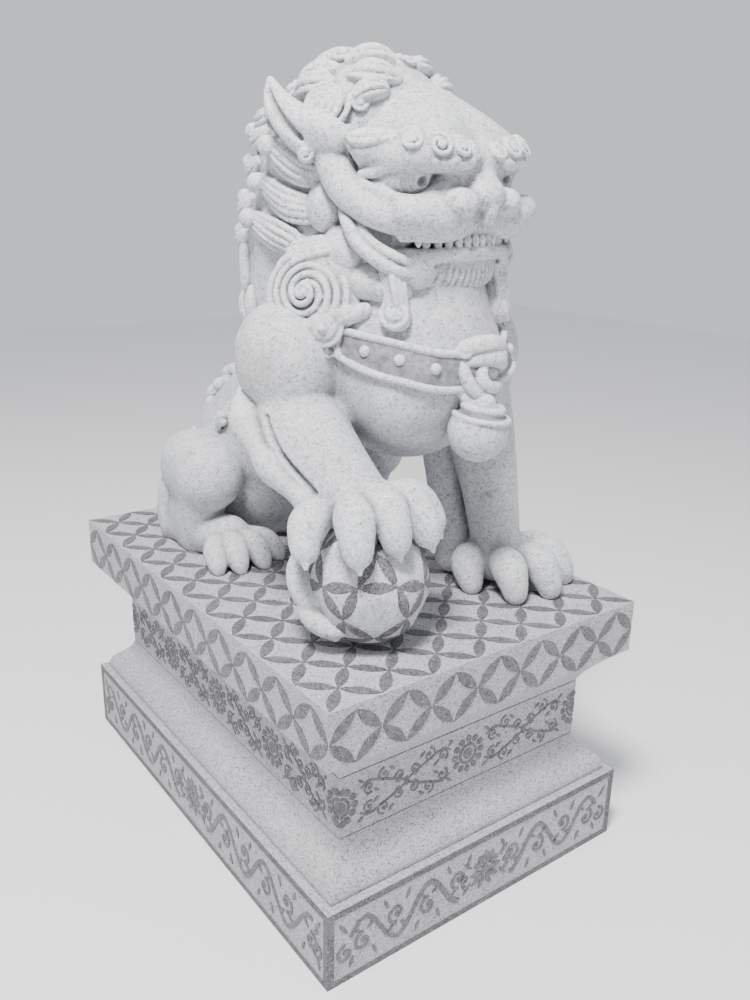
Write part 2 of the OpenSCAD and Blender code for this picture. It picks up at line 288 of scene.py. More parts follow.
def mesh_of(name, points, t, q):
    """A smooth mesh in metres, from points in millimetres, triangles and quads."""
    me = bpy.data.meshes.new(name)
    loops = np.concatenate([t.ravel(), q.ravel()]).astype(np.int32)
    totals = np.concatenate([np.full(len(t), 3), np.full(len(q), 4)]).astype(np.int32)
    starts = np.concatenate([[0], np.cumsum(totals)[:-1]]).astype(np.int32)
    me.vertices.add(len(points))
    me.vertices.foreach_set("co", (points / 1000).astype(F).ravel())
    me.loops.add(len(loops))
    me.loops.foreach_set("vertex_index", loops)
    me.polygons.add(len(totals))
    me.polygons.foreach_set("loop_start", starts)
    me.polygons.foreach_set("loop_total", totals)
    me.polygons.foreach_set("use_smooth", np.ones(len(totals), bool))
    me.update(calc_edges=True)
    me.validate()
    return me


def hollows(clay):
    """How hollow (negative) or proud (positive) the surface is, in millimetres; the stone paints shade into
    the hollows and a highlight onto the proud parts from it.
    """
    c = clay.copy()
    r = max(1, int(round(PAINTED_SHADE_REACH / clay.h)))
    c.d = blurred(np.clip(clay.d, -PAINTED_SHADE_REACH, PAINTED_SHADE_REACH).astype(F), r).astype(F)
    return c


def shared(whole, border, lap):
    """A part's own share of a carved surface: past its border it dives under the neighbour, then ends."""
    return np.maximum(whole + F(0.3) * np.maximum(border, 0), border - F(lap))


def resampled(c, lo, hi, h):
    """The same distances on another grid."""
    out = Clay(lo, hi, h)
    d = c.d
    for ax in range(3):
        g = np.clip((out.lo[ax] + h * np.arange(out.n[ax]) - c.lo[ax]) / c.h, 0, c.n[ax] - 1.001)
        i = g.astype(int)
        f = (g - i).astype(F).reshape([-1 if a == ax else 1 for a in range(3)])
        d = np.take(d, i, ax) * (1 - f) + np.take(d, i + 1, ax) * f
    out.d = d.astype(F)
    return out


def carve_apart(parts, soft, material, to_row=None):
    """Joins named clays into one carved surface, then casts each as its own closed piece of that surface."""
    lo = np.min([c.i0 for c in parts.values()], 0)
    hi = np.max([c.i0 + c.n for c in parts.values()], 0)
    h = parts.h
    whole = Clay(lo * h, (hi - 1) * h, h)
    whole.i0, whole.n, whole.lo = lo, hi - lo, lo * h
    whole.d = np.full(whole.n, FAR, F)
    near = whole.d.copy()
    second = whole.d.copy()
    owner = np.full(whole.n, -1, np.int8)

    def at(c):
        return tuple(slice(a - b, a - b + m) for a, b, m in zip(c.i0, lo, c.n))

    for i, (name, c) in enumerate(parts.items()):
        w = at(c)
        whole.d[w] = smin(whole.d[w], c.d, soft.get(name, 0))
        closer = c.d < near[w]
        second[w] = np.where(closer, near[w], np.minimum(second[w], c.d))
        owner[w][closer] = i
        near[w] = np.where(closer, c.d, near[w])
    hollow = hollows(whole)
    for i, (name, c) in enumerate(parts.items()):
        w = at(c)
        other = np.where(owner[w] == i, second[w], near[w])
        own = shared(whole.d[w], 0.5 * (c.d - other), LAP * h)
        cast(name, c, hollow, material, own, to_row)
    return whole


# ---------------------------------------------------------------- hair and swirls

def lock(clay, base, spine, strands=5, proud=16.0, knob=0.0, bar=0.5, k=1.6):
    """A lock of hair lying on a base form: strands side by side along a spine of (x, y, z, half width)."""
    s = path(spine, 18)
    p = base.snap(s[:, :3])
    w = s[:, 3:4]
    n = base.normal(p)
    t = unit(np.gradient(p, axis=0))
    side = unit(np.cross(n, t))
    gap = 2 * w / strands
    for j in range(strands):
        u = (2 * j + 1) / strands - 1
        q = p + side * (w - gap / 2) * u
        q = base.snap(q, 0.0, 4)
        rise = proud * math.sqrt(max(0.0, 1 - 0.8 * u * u)) * np.clip(w / w.max(), 0.35, 1)
        r = gap * bar
        m = base.normal(q)
        clay.tube(np.hstack([q + m * (rise - r), r]), n=18, k=k)
        clay.tube(np.hstack([q + m * rise * 0.22, np.maximum(rise * 0.42, r)]), n=10, k=k)
    if knob:
        tip = p[-1] + n[-1] * proud * 0.7
        clay.ball(tip, knob, k=k + 2)
        twist(clay, tip, n[-1], knob * 1.02, 1.6, 3.2, t[-1], k=1.5)


def twist(clay, c, normal, radius, turns, bar, start, hand=1, arms=1, dome=0.45, k=1.5, hub=0.0):
    """Spiral ridges on a domed disc that faces along the normal, winding in to its middle."""
    n = unit(np.array(normal, float))
    a = unit(np.cross(np.cross(n, np.array(start, float)), n))
    b = np.cross(n, a) * hand
    steps = int(16 * turns) + 6
    for j in range(arms):
        f = np.linspace(0, 1, steps)
        ang = 2 * math.pi * (j / arms + turns * f)
        r = radius * (1 - 0.92 * f)
        h = radius * dome * np.sqrt(np.maximum(0, 1 - (r / radius) ** 2))
        q = np.array(c) + (r * np.cos(ang))[:, None] * a + (r * np.sin(ang))[:, None] * b + h[:, None] * n
        clay.tube(np.hstack([q, np.full((steps, 1), bar)]), n=steps * 2, k=k)
    if hub:
        clay.ball(np.array(c) + n * radius * dome * 0.9, hub, k=3)


# ---------------------------------------------------------------- the lion's body

def carve_torso(parts):
    t = parts.new("torso_carved", (-330, -480, 600), (370, 640, 1520))
    t.ball((38, -215, 1190), (202, 212, 232))
    t.ball((45, -225, 1370), (120, 140, 150), k=70)
    t.tube([(25, -30, 1180, 178), (18, 150, 1020, 190), (8, 330, 850, 212)], n=6, k=60)
    t.ball((8, 350, 760), (205, 190, 160), k=50)
    # chest muscle either side
    for x in (-45, 125):
        t.ball((x, -330, 1130), (95, 80, 105), k=50)


def carve_foreleg_right(parts):
    c = parts.new("foreleg_right_carved", (-390, -520, 800), (-40, 60, 1360))
    c.ball((-224, -140, 1188), (106, 120, 126), turn=turned(x=-12))
    c.tube([(-228, -185, 1075, 84), (-222, -240, 1020, 92), (-205, -300, 960, 86), (-192, -365, 925, 70)],
           n=10, k=12)
    # the knobbly edge that runs down from the elbow, behind a groove
    c.tube([(-302, -104, 1096, 28), (-320, -136, 1062, 36), (-316, -182, 1018, 27), (-308, -228, 984, 35),
            (-290, -280, 950, 26), (-276, -322, 925, 32)], n=22, k=3)
    c.tube([(-306, -200, 1085, 6), (-310, -236, 1042, 8), (-294, -292, 994, 7), (-276, -340, 954, 5)],
           n=14, k=8, cut=True)


def carve_foreleg_left(parts):
    c = parts.new("foreleg_left_carved", (110, -470, 600), (440, 60, 1360))
    c.ball((284, -172, 1180), (98, 112, 124), turn=turned(x=-8))
    c.tube([(274, -190, 1080, 86), (252, -245, 990, 80), (240, -296, 880, 68), (242, -322, 770, 60),
            (248, -332, 716, 58)], n=12, k=12)
    c.tube([(222, -150, 1075, 60), (205, -160, 960, 52), (192, -195, 850, 44), (188, -225, 750, 50),
            (190, -240, 690, 48)], n=12, k=10)
    c.tube([(206, -262, 1000, 5), (196, -290, 920, 8), (196, -306, 840, 8), (206, -318, 770, 5)], n=14, k=8,
           cut=True)
    c.tube([(300, -250, 940, 12), (292, -300, 860, 15), (288, -330, 780, 14), (290, -345, 720, 14)], n=10,
           k=14)


def carve_forepaw_right(parts):
    """The paw on the ball: the pad, then five fingers that bend over it."""
    c = parts.new("forepaw_right_carved", (-420, -620, 760), (0, -230, 1040))
    c.ball((-195, -385, 915), (78, 70, 48))
    for f in ([(-262, -345, 912, 30), (-318, -380, 912, 40), (-344, -404, 890, 32), (-352, -418, 872, 27)],
              [(-232, -400, 936, 30), (-268, -460, 932, 41), (-284, -492, 900, 33), (-288, -502, 878, 28)],
              [(-190, -400, 944, 30), (-200, -464, 946, 42), (-206, -504, 914, 34), (-206, -514, 890, 28)],
              [(-150, -398, 940, 30), (-132, -450, 940, 41), (-122, -490, 908, 33), (-118, -500, 884, 28)],
              [(-125, -380, 930, 28), (-84, -406, 928, 39), (-62, -432, 900, 32), (-54, -442, 878, 26)]):
        c.tube(f, n=14, k=3)
        tip = np.array(f[-1][:3], float)
        claw = tip + 36 * unit(tip - f[-2][:3])
        c.tube([tuple(tip) + (18,), tuple(claw) + (5,)], n=4, k=2)


def toe(c, f, n, k, root, point):
    """A toe along points, and a claw that runs on from its tip but stays above the slab."""
    c.tube(f, n=n, k=k)
    tip, before = np.array(f[-1][:3]), np.array(f[-2][:3])
    e = tip + (tip - before) * 0.4
    c.tube([(*tip, root), (e[0], e[1], max(e[2], GROUND + 6), point)], n=3, k=3)


def carve_forepaw_left(parts):
    c = parts.new("forepaw_left_carved", (60, -520, 600), (450, -150, 860))
    c.ball((256, -330, 702), (90, 86, 62))
    for f in ([(196, -300, 700, 32), (162, -324, 700, 42), (148, -346, 676, 32), (145, -358, 660, 25)],
              [(222, -364, 710, 30), (200, -418, 712, 41), (190, -448, 684, 33), (187, -460, 662, 26)],
              [(270, -378, 712, 30), (274, -438, 714, 42), (276, -470, 684, 34), (277, -482, 662, 26)],
              [(312, -362, 710, 30), (344, -402, 710, 41), (360, -430, 682, 33), (366, -440, 661, 25)],
              [(322, -324, 706, 30), (370, -338, 702, 38), (396, -356, 680, 31), (402, -364, 661, 23)]):
        toe(c, f, 14, 3, 14, 6)


def carve_hind_leg(parts, side, middle, name):
    def X(x):
        return middle + side * x

    near, far = sorted((X(60), X(400)))
    c = parts.new("hind_leg_%s_carved" % name, (near, 20, 600), (far, 560, 1040))
    c.ball((X(232), 284, 842), (90, 142, 100), turn=turned(x=4))
    c.ball((X(250), 205, 850), (74, 84, 84), k=40)
    c.tube([(X(250), 232, 800, 66), (X(252), 250, 730, 58), (X(248), 262, 670, 58)], n=6, k=10)
    c.ball((X(252), 300, 715), (52, 88, 92), k=20)
    c.tube([(X(276), 366, 792, 32), (X(282), 378, 720, 32), (X(274), 366, 668, 38)], n=8, k=8)
    c = parts.new("hind_paw_%s_carved" % name, (near, -40, 600), (far, 440, 800))
    c.tube([(X(262), 330, 676, 44), (X(246), 240, 684, 52), (X(222), 160, 688, 60)], n=8)
    for f in ([(X(262), 140, 690, 28), (X(285), 100, 684, 32), (X(296), 72, 664, 25), (X(300), 62, 652, 17)],
              [(X(240), 120, 696, 28), (X(246), 78, 692, 33), (X(250), 50, 668, 26), (X(251), 40, 652, 18)],
              [(X(208), 118, 696, 28), (X(196), 74, 692, 33), (X(190), 46, 668, 26), (X(188), 36, 652, 18)],
              [(X(178), 140, 690, 28), (X(148), 102, 684, 32), (X(134), 74, 664, 25), (X(130), 64, 652, 17)]):
        toe(c, f, 10, 5, 12, 5)


def carve_tail(parts):
    """A flame of locks that lies up against the back."""
    c = parts.new("tail_carved", (-260, 330, 600), (280, 605, 1180))
    c.tube([(8, 548, 680, 34), (8, 560, 780, 40), (8, 530, 880, 46)], n=8)
    c.ball((8, 500, 930), (100, 60, 120), k=30)
    for sx in (-1, 1):
        for a, b, e, w in ((30, 95, 1005, 30), (62, 150, 950, 30), (70, 160, 870, 28), (14, 40, 1075, 28)):
            lock(c, c.copy(), [(8 + sx * 6, 545, e - 150, 12), (8 + sx * a, 535, e - 70, w),
                               (8 + sx * b * 0.9, 500, e - 10, w * 0.8), (8 + sx * b, 470, e + 20, 12)],
                 strands=4, proud=18, knob=17)


def comb_flanks(body):
    """Flame hair behind the foreleg and over the haunch."""
    for sx, mx in ((-1, 0), (1, 28)):
        for y, z in ((60, 1120), (150, 1040), (235, 975)):
            spine = flip(sx, (150, y - 60, z + 60, 10), (190, y - 10, z + 20, 26), (205, y + 40, z - 30, 22),
                         (212, y + 70, z - 60, 9), middle=mx)
            lock(body, body.copy(), spine, strands=4, proud=14, knob=13)


def build_body(h, material):
    parts = Parts(h)
    carve_torso(parts)
    carve_foreleg_right(parts)
    carve_foreleg_left(parts)
    carve_forepaw_right(parts)
    carve_forepaw_left(parts)
    carve_hind_leg(parts, -1, 0, "right")
    carve_hind_leg(parts, 1, 28, "left")
    carve_tail(parts)
    comb_flanks(parts["torso_carved"])
    for c in parts.values():
        c.plane((0, 0, GROUND), (0, 0, -1))
    soft = {"torso_carved": 0, "foreleg_right_carved": 26, "foreleg_left_carved": 26,
            "forepaw_right_carved": 14, "forepaw_left_carved": 14, "hind_leg_right_carved": 26,
            "hind_leg_left_carved": 26, "hind_paw_right_carved": 10, "hind_paw_left_carved": 10,
            "tail_carved": 8}
    return carve_apart(parts, soft, material)


# ---------------------------------------------------------------- the head, in its own frame
# x to the lion's left, y to its back, z up, from between the eyes

HEAD_AT = np.array((58.0, -343.0, 1556.0))
HEAD_AXES = turned(y=-1.5, z=6)


def from_head(p):
    return np.asarray(p, float) @ HEAD_AXES.T + HEAD_AT


def shifted(a, b):
    """Clay a's distances on clay b's window of the same grid."""
    out = np.full(b.n, FAR, F)
    lo = np.maximum(a.i0, b.i0)
    hi = np.minimum(a.i0 + a.n, b.i0 + b.n)
    out[tuple(slice(i, j) for i, j in zip(lo - b.i0, hi - b.i0))] = \
        a.d[tuple(slice(i, j) for i, j in zip(lo - a.i0, hi - a.i0))]
    return out


def carve_skull(parts):
    head = parts.new("head_carved", (-260, -150, -260), (260, 380, 260))
    head.ball((0, 165, 40), (165, 185, 150))
    head.ball((0, 95, -30), (165, 150, 150), k=30)
    for s in (-1, 1):
        head.ball((s * 44, 58, 72), (72, 88, 66), k=26)          # forehead lobes
        head.ball((s * 70, 16, 62), (70, 62, 46), k=30)
        head.ball((s * 150, 80, -60), (52, 110, 95), k=40)         # cheeks
        head.tube(flip(s, (30, -26, 36, 34), (100, -10, 44, 38), (160, 36, 42, 30), (184, 66, 40, 22)),
                  n=12, k=26)                                      # the bone under the brow
    # upper lip: two broad lobes that swing out to rounded ends, and the run up to the nose
    head.tube([(0, -6, -20, 50), (0, -22, -55, 50)], n=3, k=30)
    for s in (-1, 1):
        head.tube(flip(s, (22, -28, -72, 44), (80, -36, -76, 44), (130, -36, -70, 40), (160, -32, -62, 33)),
                  n=12, k=18)
        head.tube(flip(s, (60, -32, -96, 26), (110, -26, -94, 28), (150, -6, -90, 28)), n=8, k=18)
    # eye sockets under the brow, with a hollow that runs back along the cheek roll
    for s in (-1, 1):
        head.ball((s * 134, -26, 0), (64, 50, 36), k=12, cut=True, turn=turned(z=s * 26))
        head.tube(flip(s, (176, -5, 8, 26), (214, 55, 24, 22), (232, 110, 40, 18)), n=8, k=12, cut=True)
        # flesh between the inner corner of the eye and the nose
        head.tube(flip(s, (44, -16, 22, 26), (66, -6, -8, 26), (80, -4, -42, 28)), n=10, k=12)
        head.tube(flip(s, (118, -14, -56, 28), (82, -24, -40, 32), (44, -28, -16, 34)), n=10, k=14)


def carve_mouth(parts):
    """A slot behind the teeth that opens out into the corner."""
    head = parts["head_carved"]
    head.tube([(-176, 34, -124, 20), (-130, -16, -132, 20), (-60, -44, -128, 16), (0, -50, -126, 14),
               (60, -44, -128, 16), (130, -16, -132, 20), (176, 34, -124, 20)], n=30, k=8, cut=True)
    for s in (-1, 1):
        head.ball((s * 186, 44, -112), (34, 52, 40), k=10, cut=True)


def carve_eyes(parts):
    eyes = parts.new("eyes_carved", (-230, -110, -80), (230, 120, 90))
    for s in (-1, 1):
        c = np.array((s * 119.0, 38.0, 0.0))
        eyes.ball(c, (66, 60, 52), turn=turned(z=s * 14))
        look = unit(np.array((s * 0.04, -1.0, -0.08)))
        p = c + look * 59
        eyes.ball(p + look * 2, 14, cut=True, k=1.5)
        a = unit(np.cross(look, (0, 0, 1)))
        b = np.cross(a, look)
        for r in (23, 33, 43, 53):
            ang = np.linspace(0, 2 * math.pi, 40)
            q = p + r * (np.cos(ang)[:, None] * a + 0.9 * np.sin(ang)[:, None] * b)
            q = eyes.snap(q, 0.4, 5)
            eyes.tube(np.hstack([q, np.full((40, 1), 3.0)]), n=60, cut=True, k=1.5)


def carve_lids(parts):
    lids = parts.new("head_lids", (-240, -110, -90), (240, 120, 90))
    for s in (-1, 1):
        for rim in (((76, -12, 4, 7), (92, -24, 22, 9), (126, -24, 31, 9.5), (162, -4, 25, 9),
                     (188, 38, 8, 8), (200, 68, 6, 7)),
                    ((76, -12, -4, 7), (92, -24, -25, 8.5), (126, -22, -38, 9), (162, -2, -36, 8.5),
                     (188, 38, -22, 8), (200, 68, -4, 7)),
                    ((66, -22, -14, 5), (88, -26, -42, 6.5), (126, -20, -55, 6.5), (166, 4, -50, 6.5),
                     (196, 48, -32, 5))):
            lids.tube(flip(s, *rim), n=24, k=2)


def carve_nose(parts):
    nose = parts.new("nose_carved", (-130, -170, -130), (130, 20, 60))
    nose.ball((0, -66, -32), (48, 40, 34))
    for s in (-1, 1):
        nose.ball((s * 64, -64, -47), (38, 37, 30), k=6, turn=turned(z=s * 14))
    nose.tube([(0, -16, 14, 34), (0, -42, -10, 42)], n=4, k=20)
    nose.tube([(0, -88, -58, 15), (0, -84, -76, 12)], n=4, k=8)
    for s in (-1, 1):
        nose.ball((s * 37, -104, -62), (17, 20, 13), cut=True, k=4)
        nose.tube(flip(s, (92, -84, -28, 4), (105, -74, -50, 7), (92, -80, -74, 7)), n=10, cut=True, k=4)


def carve_brows(parts):
    brows = parts.new("brows_carved", (-300, -160, -30), (300, 190, 170))
    for s in (-1, 1):
        brows.tube(flip(s, (18, -46, 34, 20), (58, -54, 34, 27), (106, -40, 40, 31), (153, -4, 42, 31),
                           (184, 50, 48, 27), (198, 88, 60, 16)), n=24, k=5)
    base = brows.copy()
    base.d = smin(base.d, shifted(parts["head_carved"], base), 22)
    for s in (-1, 1):
        # hairs combed up and back over the outer end
        lock(brows, base, flip(s, (168, 4, 66, 14), (190, 36, 66, 26), (204, 68, 72, 26), (208, 96, 84, 12)),
             strands=4, proud=14)
        # snail curls along the brow, with strands that run out from under them
        for x, y, z, r in ((36, -80, 50, 17), (76, -76, 54, 22), (120, -62, 56, 24), (158, -24, 60, 22)):
            q = base.snap(np.array(flip(s, (x, y, z)), float), 0)[0]
            m = base.normal(q[None])[0]
            twist(brows, q - m * 1.5, m, r, 1.7, 3.9, (0, 0, 1), hand=s, dome=0.26, k=2, hub=r * 0.2)
        for x, y, z in ((54, -80, 24), (96, -70, 26)):
            lock(brows, base, flip(s, (x - 14, y - 2, z + 6, 8), (x, y, z, 12), (x + 18, y + 10, z + 1, 11),
                                      (x + 30, y + 20, z + 6, 7)), strands=3, proud=6)


def carve_cheek_folds(parts):
    folds = parts.new("cheek_folds_carved", (-270, -130, -290), (270, 260, 90))
    for s in (-1, 1):
        # the roll from beside the eye down into the lip
        folds.tube(flip(s, (196, 176, 58, 24), (202, 152, 34, 34), (203, 112, -16, 36), (190, 60, -52, 34),
                           (166, 12, -70, 34), (136, -26, -76, 35)), n=20)
        # the lips that turn round the corner of the mouth
        folds.tube(flip(s, (204, 118, -62, 9), (214, 92, -82, 13), (212, 66, -118, 14), (192, 26, -152, 14),
                           (160, 2, -172, 13), (130, -12, -178, 7)), n=24)
        folds.tube(flip(s, (190, 96, -72, 8), (198, 72, -90, 10), (194, 42, -118, 10), (170, 6, -142, 10),
                           (136, -12, -156, 9), (100, -28, -160, 5)), n=24)
        folds.ball((s * 196, 182, -56), (34, 44, 50))
        folds.ball((s * 186, 136, -142), (42, 56, 54), k=6)
        folds.ball((s * 164, 88, -196), (44, 50, 40), k=6)
        folds.ball((s * 140, 44, -206), (48, 50, 36), k=14)


def carve_jaw(parts):
    jaw = parts.new("lower_jaw_carved", (-200, -130, -280), (200, 200, -90))
    jaw.tube([(-150, 20, -146, 14), (-112, -20, -146, 15), (-56, -44, -142, 16), (0, -52, -140, 16),
              (56, -44, -142, 16), (112, -20, -146, 15), (150, 20, -146, 14)], n=26)
    jaw.ball((0, 4, -180), (104, 56, 44), k=18)
    jaw.ball((0, 70, -180), (140, 100, 66), k=30)
    for s in (-1, 1):
        jaw.ball((s * 112, 14, -172), (48, 46, 42), k=16)
    # the lip's crease, and short hairs combed down the chin
    jaw.tube([(-104, -24, -164, 3), (-50, -56, -162, 3), (0, -64, -160, 3), (50, -56, -162, 3),
              (104, -24, -164, 3)], n=20, cut=True, k=4)
    for x in range(-88, 89, 16):
        hairs = jaw.snap(np.array([(x, -60, -174), (x * 1.03, -52, -190), (x * 1.05, -36, -206)], float), 0.0)
        jaw.tube(np.hstack([hairs, np.full((3, 1), 2.8)]), n=8, cut=True, k=3)


def carve_teeth(parts):
    teeth = parts.new("teeth_carved", (-160, -130, -170), (160, 60, -90))
    for i in range(12):
        x = (i - 5.5) * 19.5
        y = -58 + 0.0034 * x * x
        teeth.ball((x, y, -118), (9.3, 9, 15), k=1)
    for s in (-1, 1):
        teeth.tube(flip(s, (128, -18, -104, 12), (130, -20, -116, 8), (130, -20, -124, 4)), n=6)


def carve_ears(parts):
    ears = parts.new("ears_carved", (-330, 60, -50), (330, 380, 240))
    for s in (-1, 1):
        ears.tube(flip(s, (208, 122, 76, 24), (222, 152, 86, 32), (232, 205, 104, 30), (236, 258, 142, 19),
                          (233, 298, 184, 6)), n=16)
        ears.tube(flip(s, (210, 130, 64, 24), (222, 160, 62, 24), (230, 184, 58, 18)), n=8, k=12)
        ears.tube(flip(s, (236, 192, 50, 12), (248, 232, 78, 12), (250, 270, 112, 11), (244, 296, 150, 9),
                          (234, 304, 184, 5)), n=18, k=6)
        ears.tube(flip(s, (236, 180, 56, 20), (238, 236, 98, 24), (236, 280, 136, 12)), n=10, k=10)
        ears.tube(flip(s, (250, 180, 72, 6), (260, 210, 92, 10), (258, 250, 124, 9), (246, 288, 160, 5)),
                  n=14, k=6, cut=True)
        ears.ball((s * 238, 184, 44), 19, k=4)
        twist(ears, (s * 248, 174, 44), (s * 0.8, -0.7, 0), 17, 1.5, 3.8, (0, 0, 1), hand=s, dome=0.5)


def build_head(h, material):
    parts = Parts(h)
    for carve in (carve_skull, carve_mouth, carve_eyes, carve_lids, carve_nose, carve_brows,
                  carve_cheek_folds, carve_jaw, carve_teeth, carve_ears):
        carve(parts)
    for c in parts.values():
        c.plane((0, 330, 0), (0, 1, 0))
    soft = {"nose_carved": 10, "cheek_folds_carved": 7, "lower_jaw_carved": 4, "brows_carved": 22,
            "ears_carved": 8, "head_lids": 2, "eyes_carved": 0, "teeth_carved": 1.5}
    carve_apart(parts, soft, material, from_head)


# ---------------------------------------------------------------- the mane

MIDDLE = 25.0                      # the plane that the mane is mirrored in
CROWN = (MIDDLE, -90, 1600)        # a point inside the head that the crown's curls face away from


def M(s, x):
    """How far across a place on the mane is, from its distance out on the lion's right."""
    return MIDDLE + s * (x + MIDDLE)


def mane_core(h):
    """The mane's bulk, and the discs of its shoulder swirls as (middle, facing, side)."""
    core = Clay((-330, -450, 1060), (380, 330, 1840), h)
    core.reach = 100
    core.ball((10, -32, 1590), (198, 222, 170))
    core.ball((16, -92, 1572), (198, 140, 140), k=30)
    core.ball((25, -92, 1462), (204, 142, 170), k=30)
    core.ball((4, -122, 1654), (166, 160, 136), k=40)
    core.ball((22, 40, 1430), (208, 210, 230), k=40)
    core.ball((25, 66, 1290), (204, 192, 165), k=40)
    discs = []
    for s in (-1, 1):
        n = unit(np.array((s * 0.8, -0.55, 0.25)))
        c = np.array((M(s, 194), -192, 1322.0))
        core.ball(c - n * 10, (106, 98, 40), k=10, turn=faced(n))
        discs.append((c, n, s))
        # the neck's hair between the cheek and the swirl
        core.tube([(M(s, 80), -250, 1400, 52), (M(s, 130), -215, 1385, 52), (M(s, 150), -140, 1340, 56)],
                  n=6, k=30)
    return core, discs


def side_swirls(hair, core, c, n, s):
    twist(hair, c - n * 2, n, 98, 2.5, 7.0, (0, -1, 0.9), hand=-s, arms=2, dome=0.36, k=1.4, hub=14)
    twist(hair, c + n * 36, n, 26, 1.6, 5, (0, 1, 0), hand=-s, dome=0.5, k=3)
    # the strands that feed the swirl over its top
    lock(hair, core, [(M(s, 105), -275, 1420, 14), (M(s, 150), -250, 1440, 32), (M(s, 206), -190, 1440, 30),
                      (M(s, 236), -100, 1400, 12)], strands=5, proud=15)
    # the small swirl below, with its cone
    b = np.array((M(s, 194), -238, 1262.0))
    m = unit(np.array((s * 0.62, -0.78, 0.1)))
    hair.ball(b - m * 12, 40, k=4)
    twist(hair, b, m, 41, 2.3, 5.2, (0, 0, 1), hand=s, dome=0.5, k=2.5)
    hair.tube([tuple(b + m * 14) + (13,), tuple(b + m * 30) + (7,)], n=3, k=3)
    hair.tube([(M(s, 130), -292, 1300, 16), (M(s, 158), -266, 1290, 20), (M(s, 190), -235, 1296, 14)], n=8,
              k=8)


def mane_rows(hair, core, s):
    """Rows that run back from the cheek and end in knobs."""
    for *points, k in (
            ((150, -200, 1560, 24), (178, -150, 1562, 38), (198, -95, 1590, 40), (204, -45, 1612, 26), 22),
            ((150, -200, 1496, 24), (184, -140, 1490, 38), (204, -60, 1508, 42), (208, 20, 1540, 26), 22),
            ((150, -210, 1440, 24), (184, -140, 1418, 38), (208, -40, 1434, 42), (208, 50, 1468, 26), 22),
            ((150, -180, 1645, 20), (172, -130, 1638, 30), (184, -70, 1662, 34), (178, -25, 1680, 22), 19),
            ((196, -10, 1660, 12), (200, 30, 1640, 26), (186, 75, 1640, 26), (160, 112, 1652, 15), 19),
            ((206, 40, 1590, 12), (204, 80, 1575, 28), (182, 125, 1575, 28), (150, 160, 1590, 16), 19),
            ((208, 80, 1520, 12), (202, 120, 1500, 28), (178, 165, 1500, 28), (142, 195, 1515, 16), 19),
            ((208, 100, 1440, 12), (202, 140, 1420, 28), (176, 185, 1420, 28), (140, 212, 1436, 16), 19)):
        lock(hair, core, [(M(s, p[0]), p[1], p[2], p[3]) for p in points], strands=5, proud=25, knob=k,
             bar=0.43)


def hanging_locks(hair, core, s):
    """Long locks at the side and the back, in two tiers."""
    for deg, top, bottom, w in ((18, 1430, 1296, 25), (44, 1425, 1290, 25), (72, 1420, 1285, 25),
                                (8, 1318, 1172, 25), (32, 1310, 1160, 27), (58, 1302, 1150, 27),
                                (82, 1300, 1145, 27)):
        ca, sa = math.cos(math.radians(deg)), math.sin(math.radians(deg))
        x, y = 178 * ca, 55 + 195 * sa
        lock(hair, core, [(M(s, x), y, top, 10), (M(s, x * 1.08), y + 14 * sa, top - 40, w),
                          (M(s, x * 1.12), y + 20 * sa, bottom + 34, w * 0.9),
                          (M(s, x * 1.02), y + 20 * sa, bottom, 9)], strands=4, proud=20, bar=0.44)


def crown_hair(hair, core, s):
    """Strands that run forward and down, with curls along the hair line and the ridge."""
    for *points, w in (
            ((172, -70, 1722), (162, -106, 1734), (148, -140, 1734), (130, -172, 1728), 34),
            ((120, -232, 1700), (104, -242, 1712), (84, -250, 1716), (62, -256, 1716), 22),
            ((112, -196, 1752), (88, -218, 1748), (58, -234, 1742), (24, -246, 1732), 34),
            ((84, -150, 1776), (56, -170, 1780), (28, -186, 1782), (0, -200, 1776), 30),
            ((160, -60, 1730), (140, -90, 1748), (120, -122, 1752), (100, -150, 1750), 32),
            ((120, -20, 1776), (90, -60, 1790), (56, -90, 1796), (20, -110, 1800), 30),
            ((176, -20, 1690), (172, 20, 1672), (160, 56, 1668), (140, 90, 1680), 27)):
        spine = [(*core.outward(CROWN, (M(s, p[0]), p[1], p[2])), half)
                 for p, half in zip(points, (14, w, w, 14))]
        lock(hair, core, spine, strands=4, proud=30, bar=0.43)
    # the large swirl in front of the ear, on rings of strands
    q = core.outward(CROWN, (M(s, 152), -186, 1680))
    m = core.normal(q[None])[0]
    hair.ball(q - m * 16, 34, k=8)
    twist(hair, q, m, 50, 1.9, 5.6, (0, -1, 0.6), hand=s, arms=2, dome=0.55, k=1.6, hub=10)
    for x, y, z, r in ((14, -184, 1790, 22), (-14, -200, 1782, 20), (70, -120, 1806, 28),
                       (124, -80, 1786, 28), (164, -34, 1740, 26), (110, -236, 1690, 18),
                       (60, -30, 1806, 24), (110, 60, 1770, 24), (40, 60, 1800, 26), (70, 120, 1760, 26),
                       (140, 90, 1700, 24), (134, -232, 1640, 17)):
        q = core.outward(CROWN, (M(s, x), y, z))
        m = core.normal(q[None])[0]
        hair.ball(q - m * 6, r * 0.86, k=5)
        twist(hair, q, m, r, 1.7, r * 0.2, (0, s, 1), hand=s, dome=0.6, k=2, hub=r * 0.26)


def back_curls(hair, core):
    """Flat snail curls down the middle of the back."""
    for row, z in enumerate((1700, 1620, 1540, 1462)):
        for i in range(-2 + (row % 2), 3):
            x = MIDDLE + (i - 0.5 * (row % 2)) * 66
            q = core.outward((MIDDLE, 60, z), (x, 300, z))
            m = core.normal(q[None])[0]
            hair.ball(q - m * 12, 32, k=6)
            turn = 1 if i % 2 else -1
            twist(hair, q, m, 33, 2.0, 5.0, (turn, 0, 0), hand=turn, dome=0.5, k=2.5, hub=8)


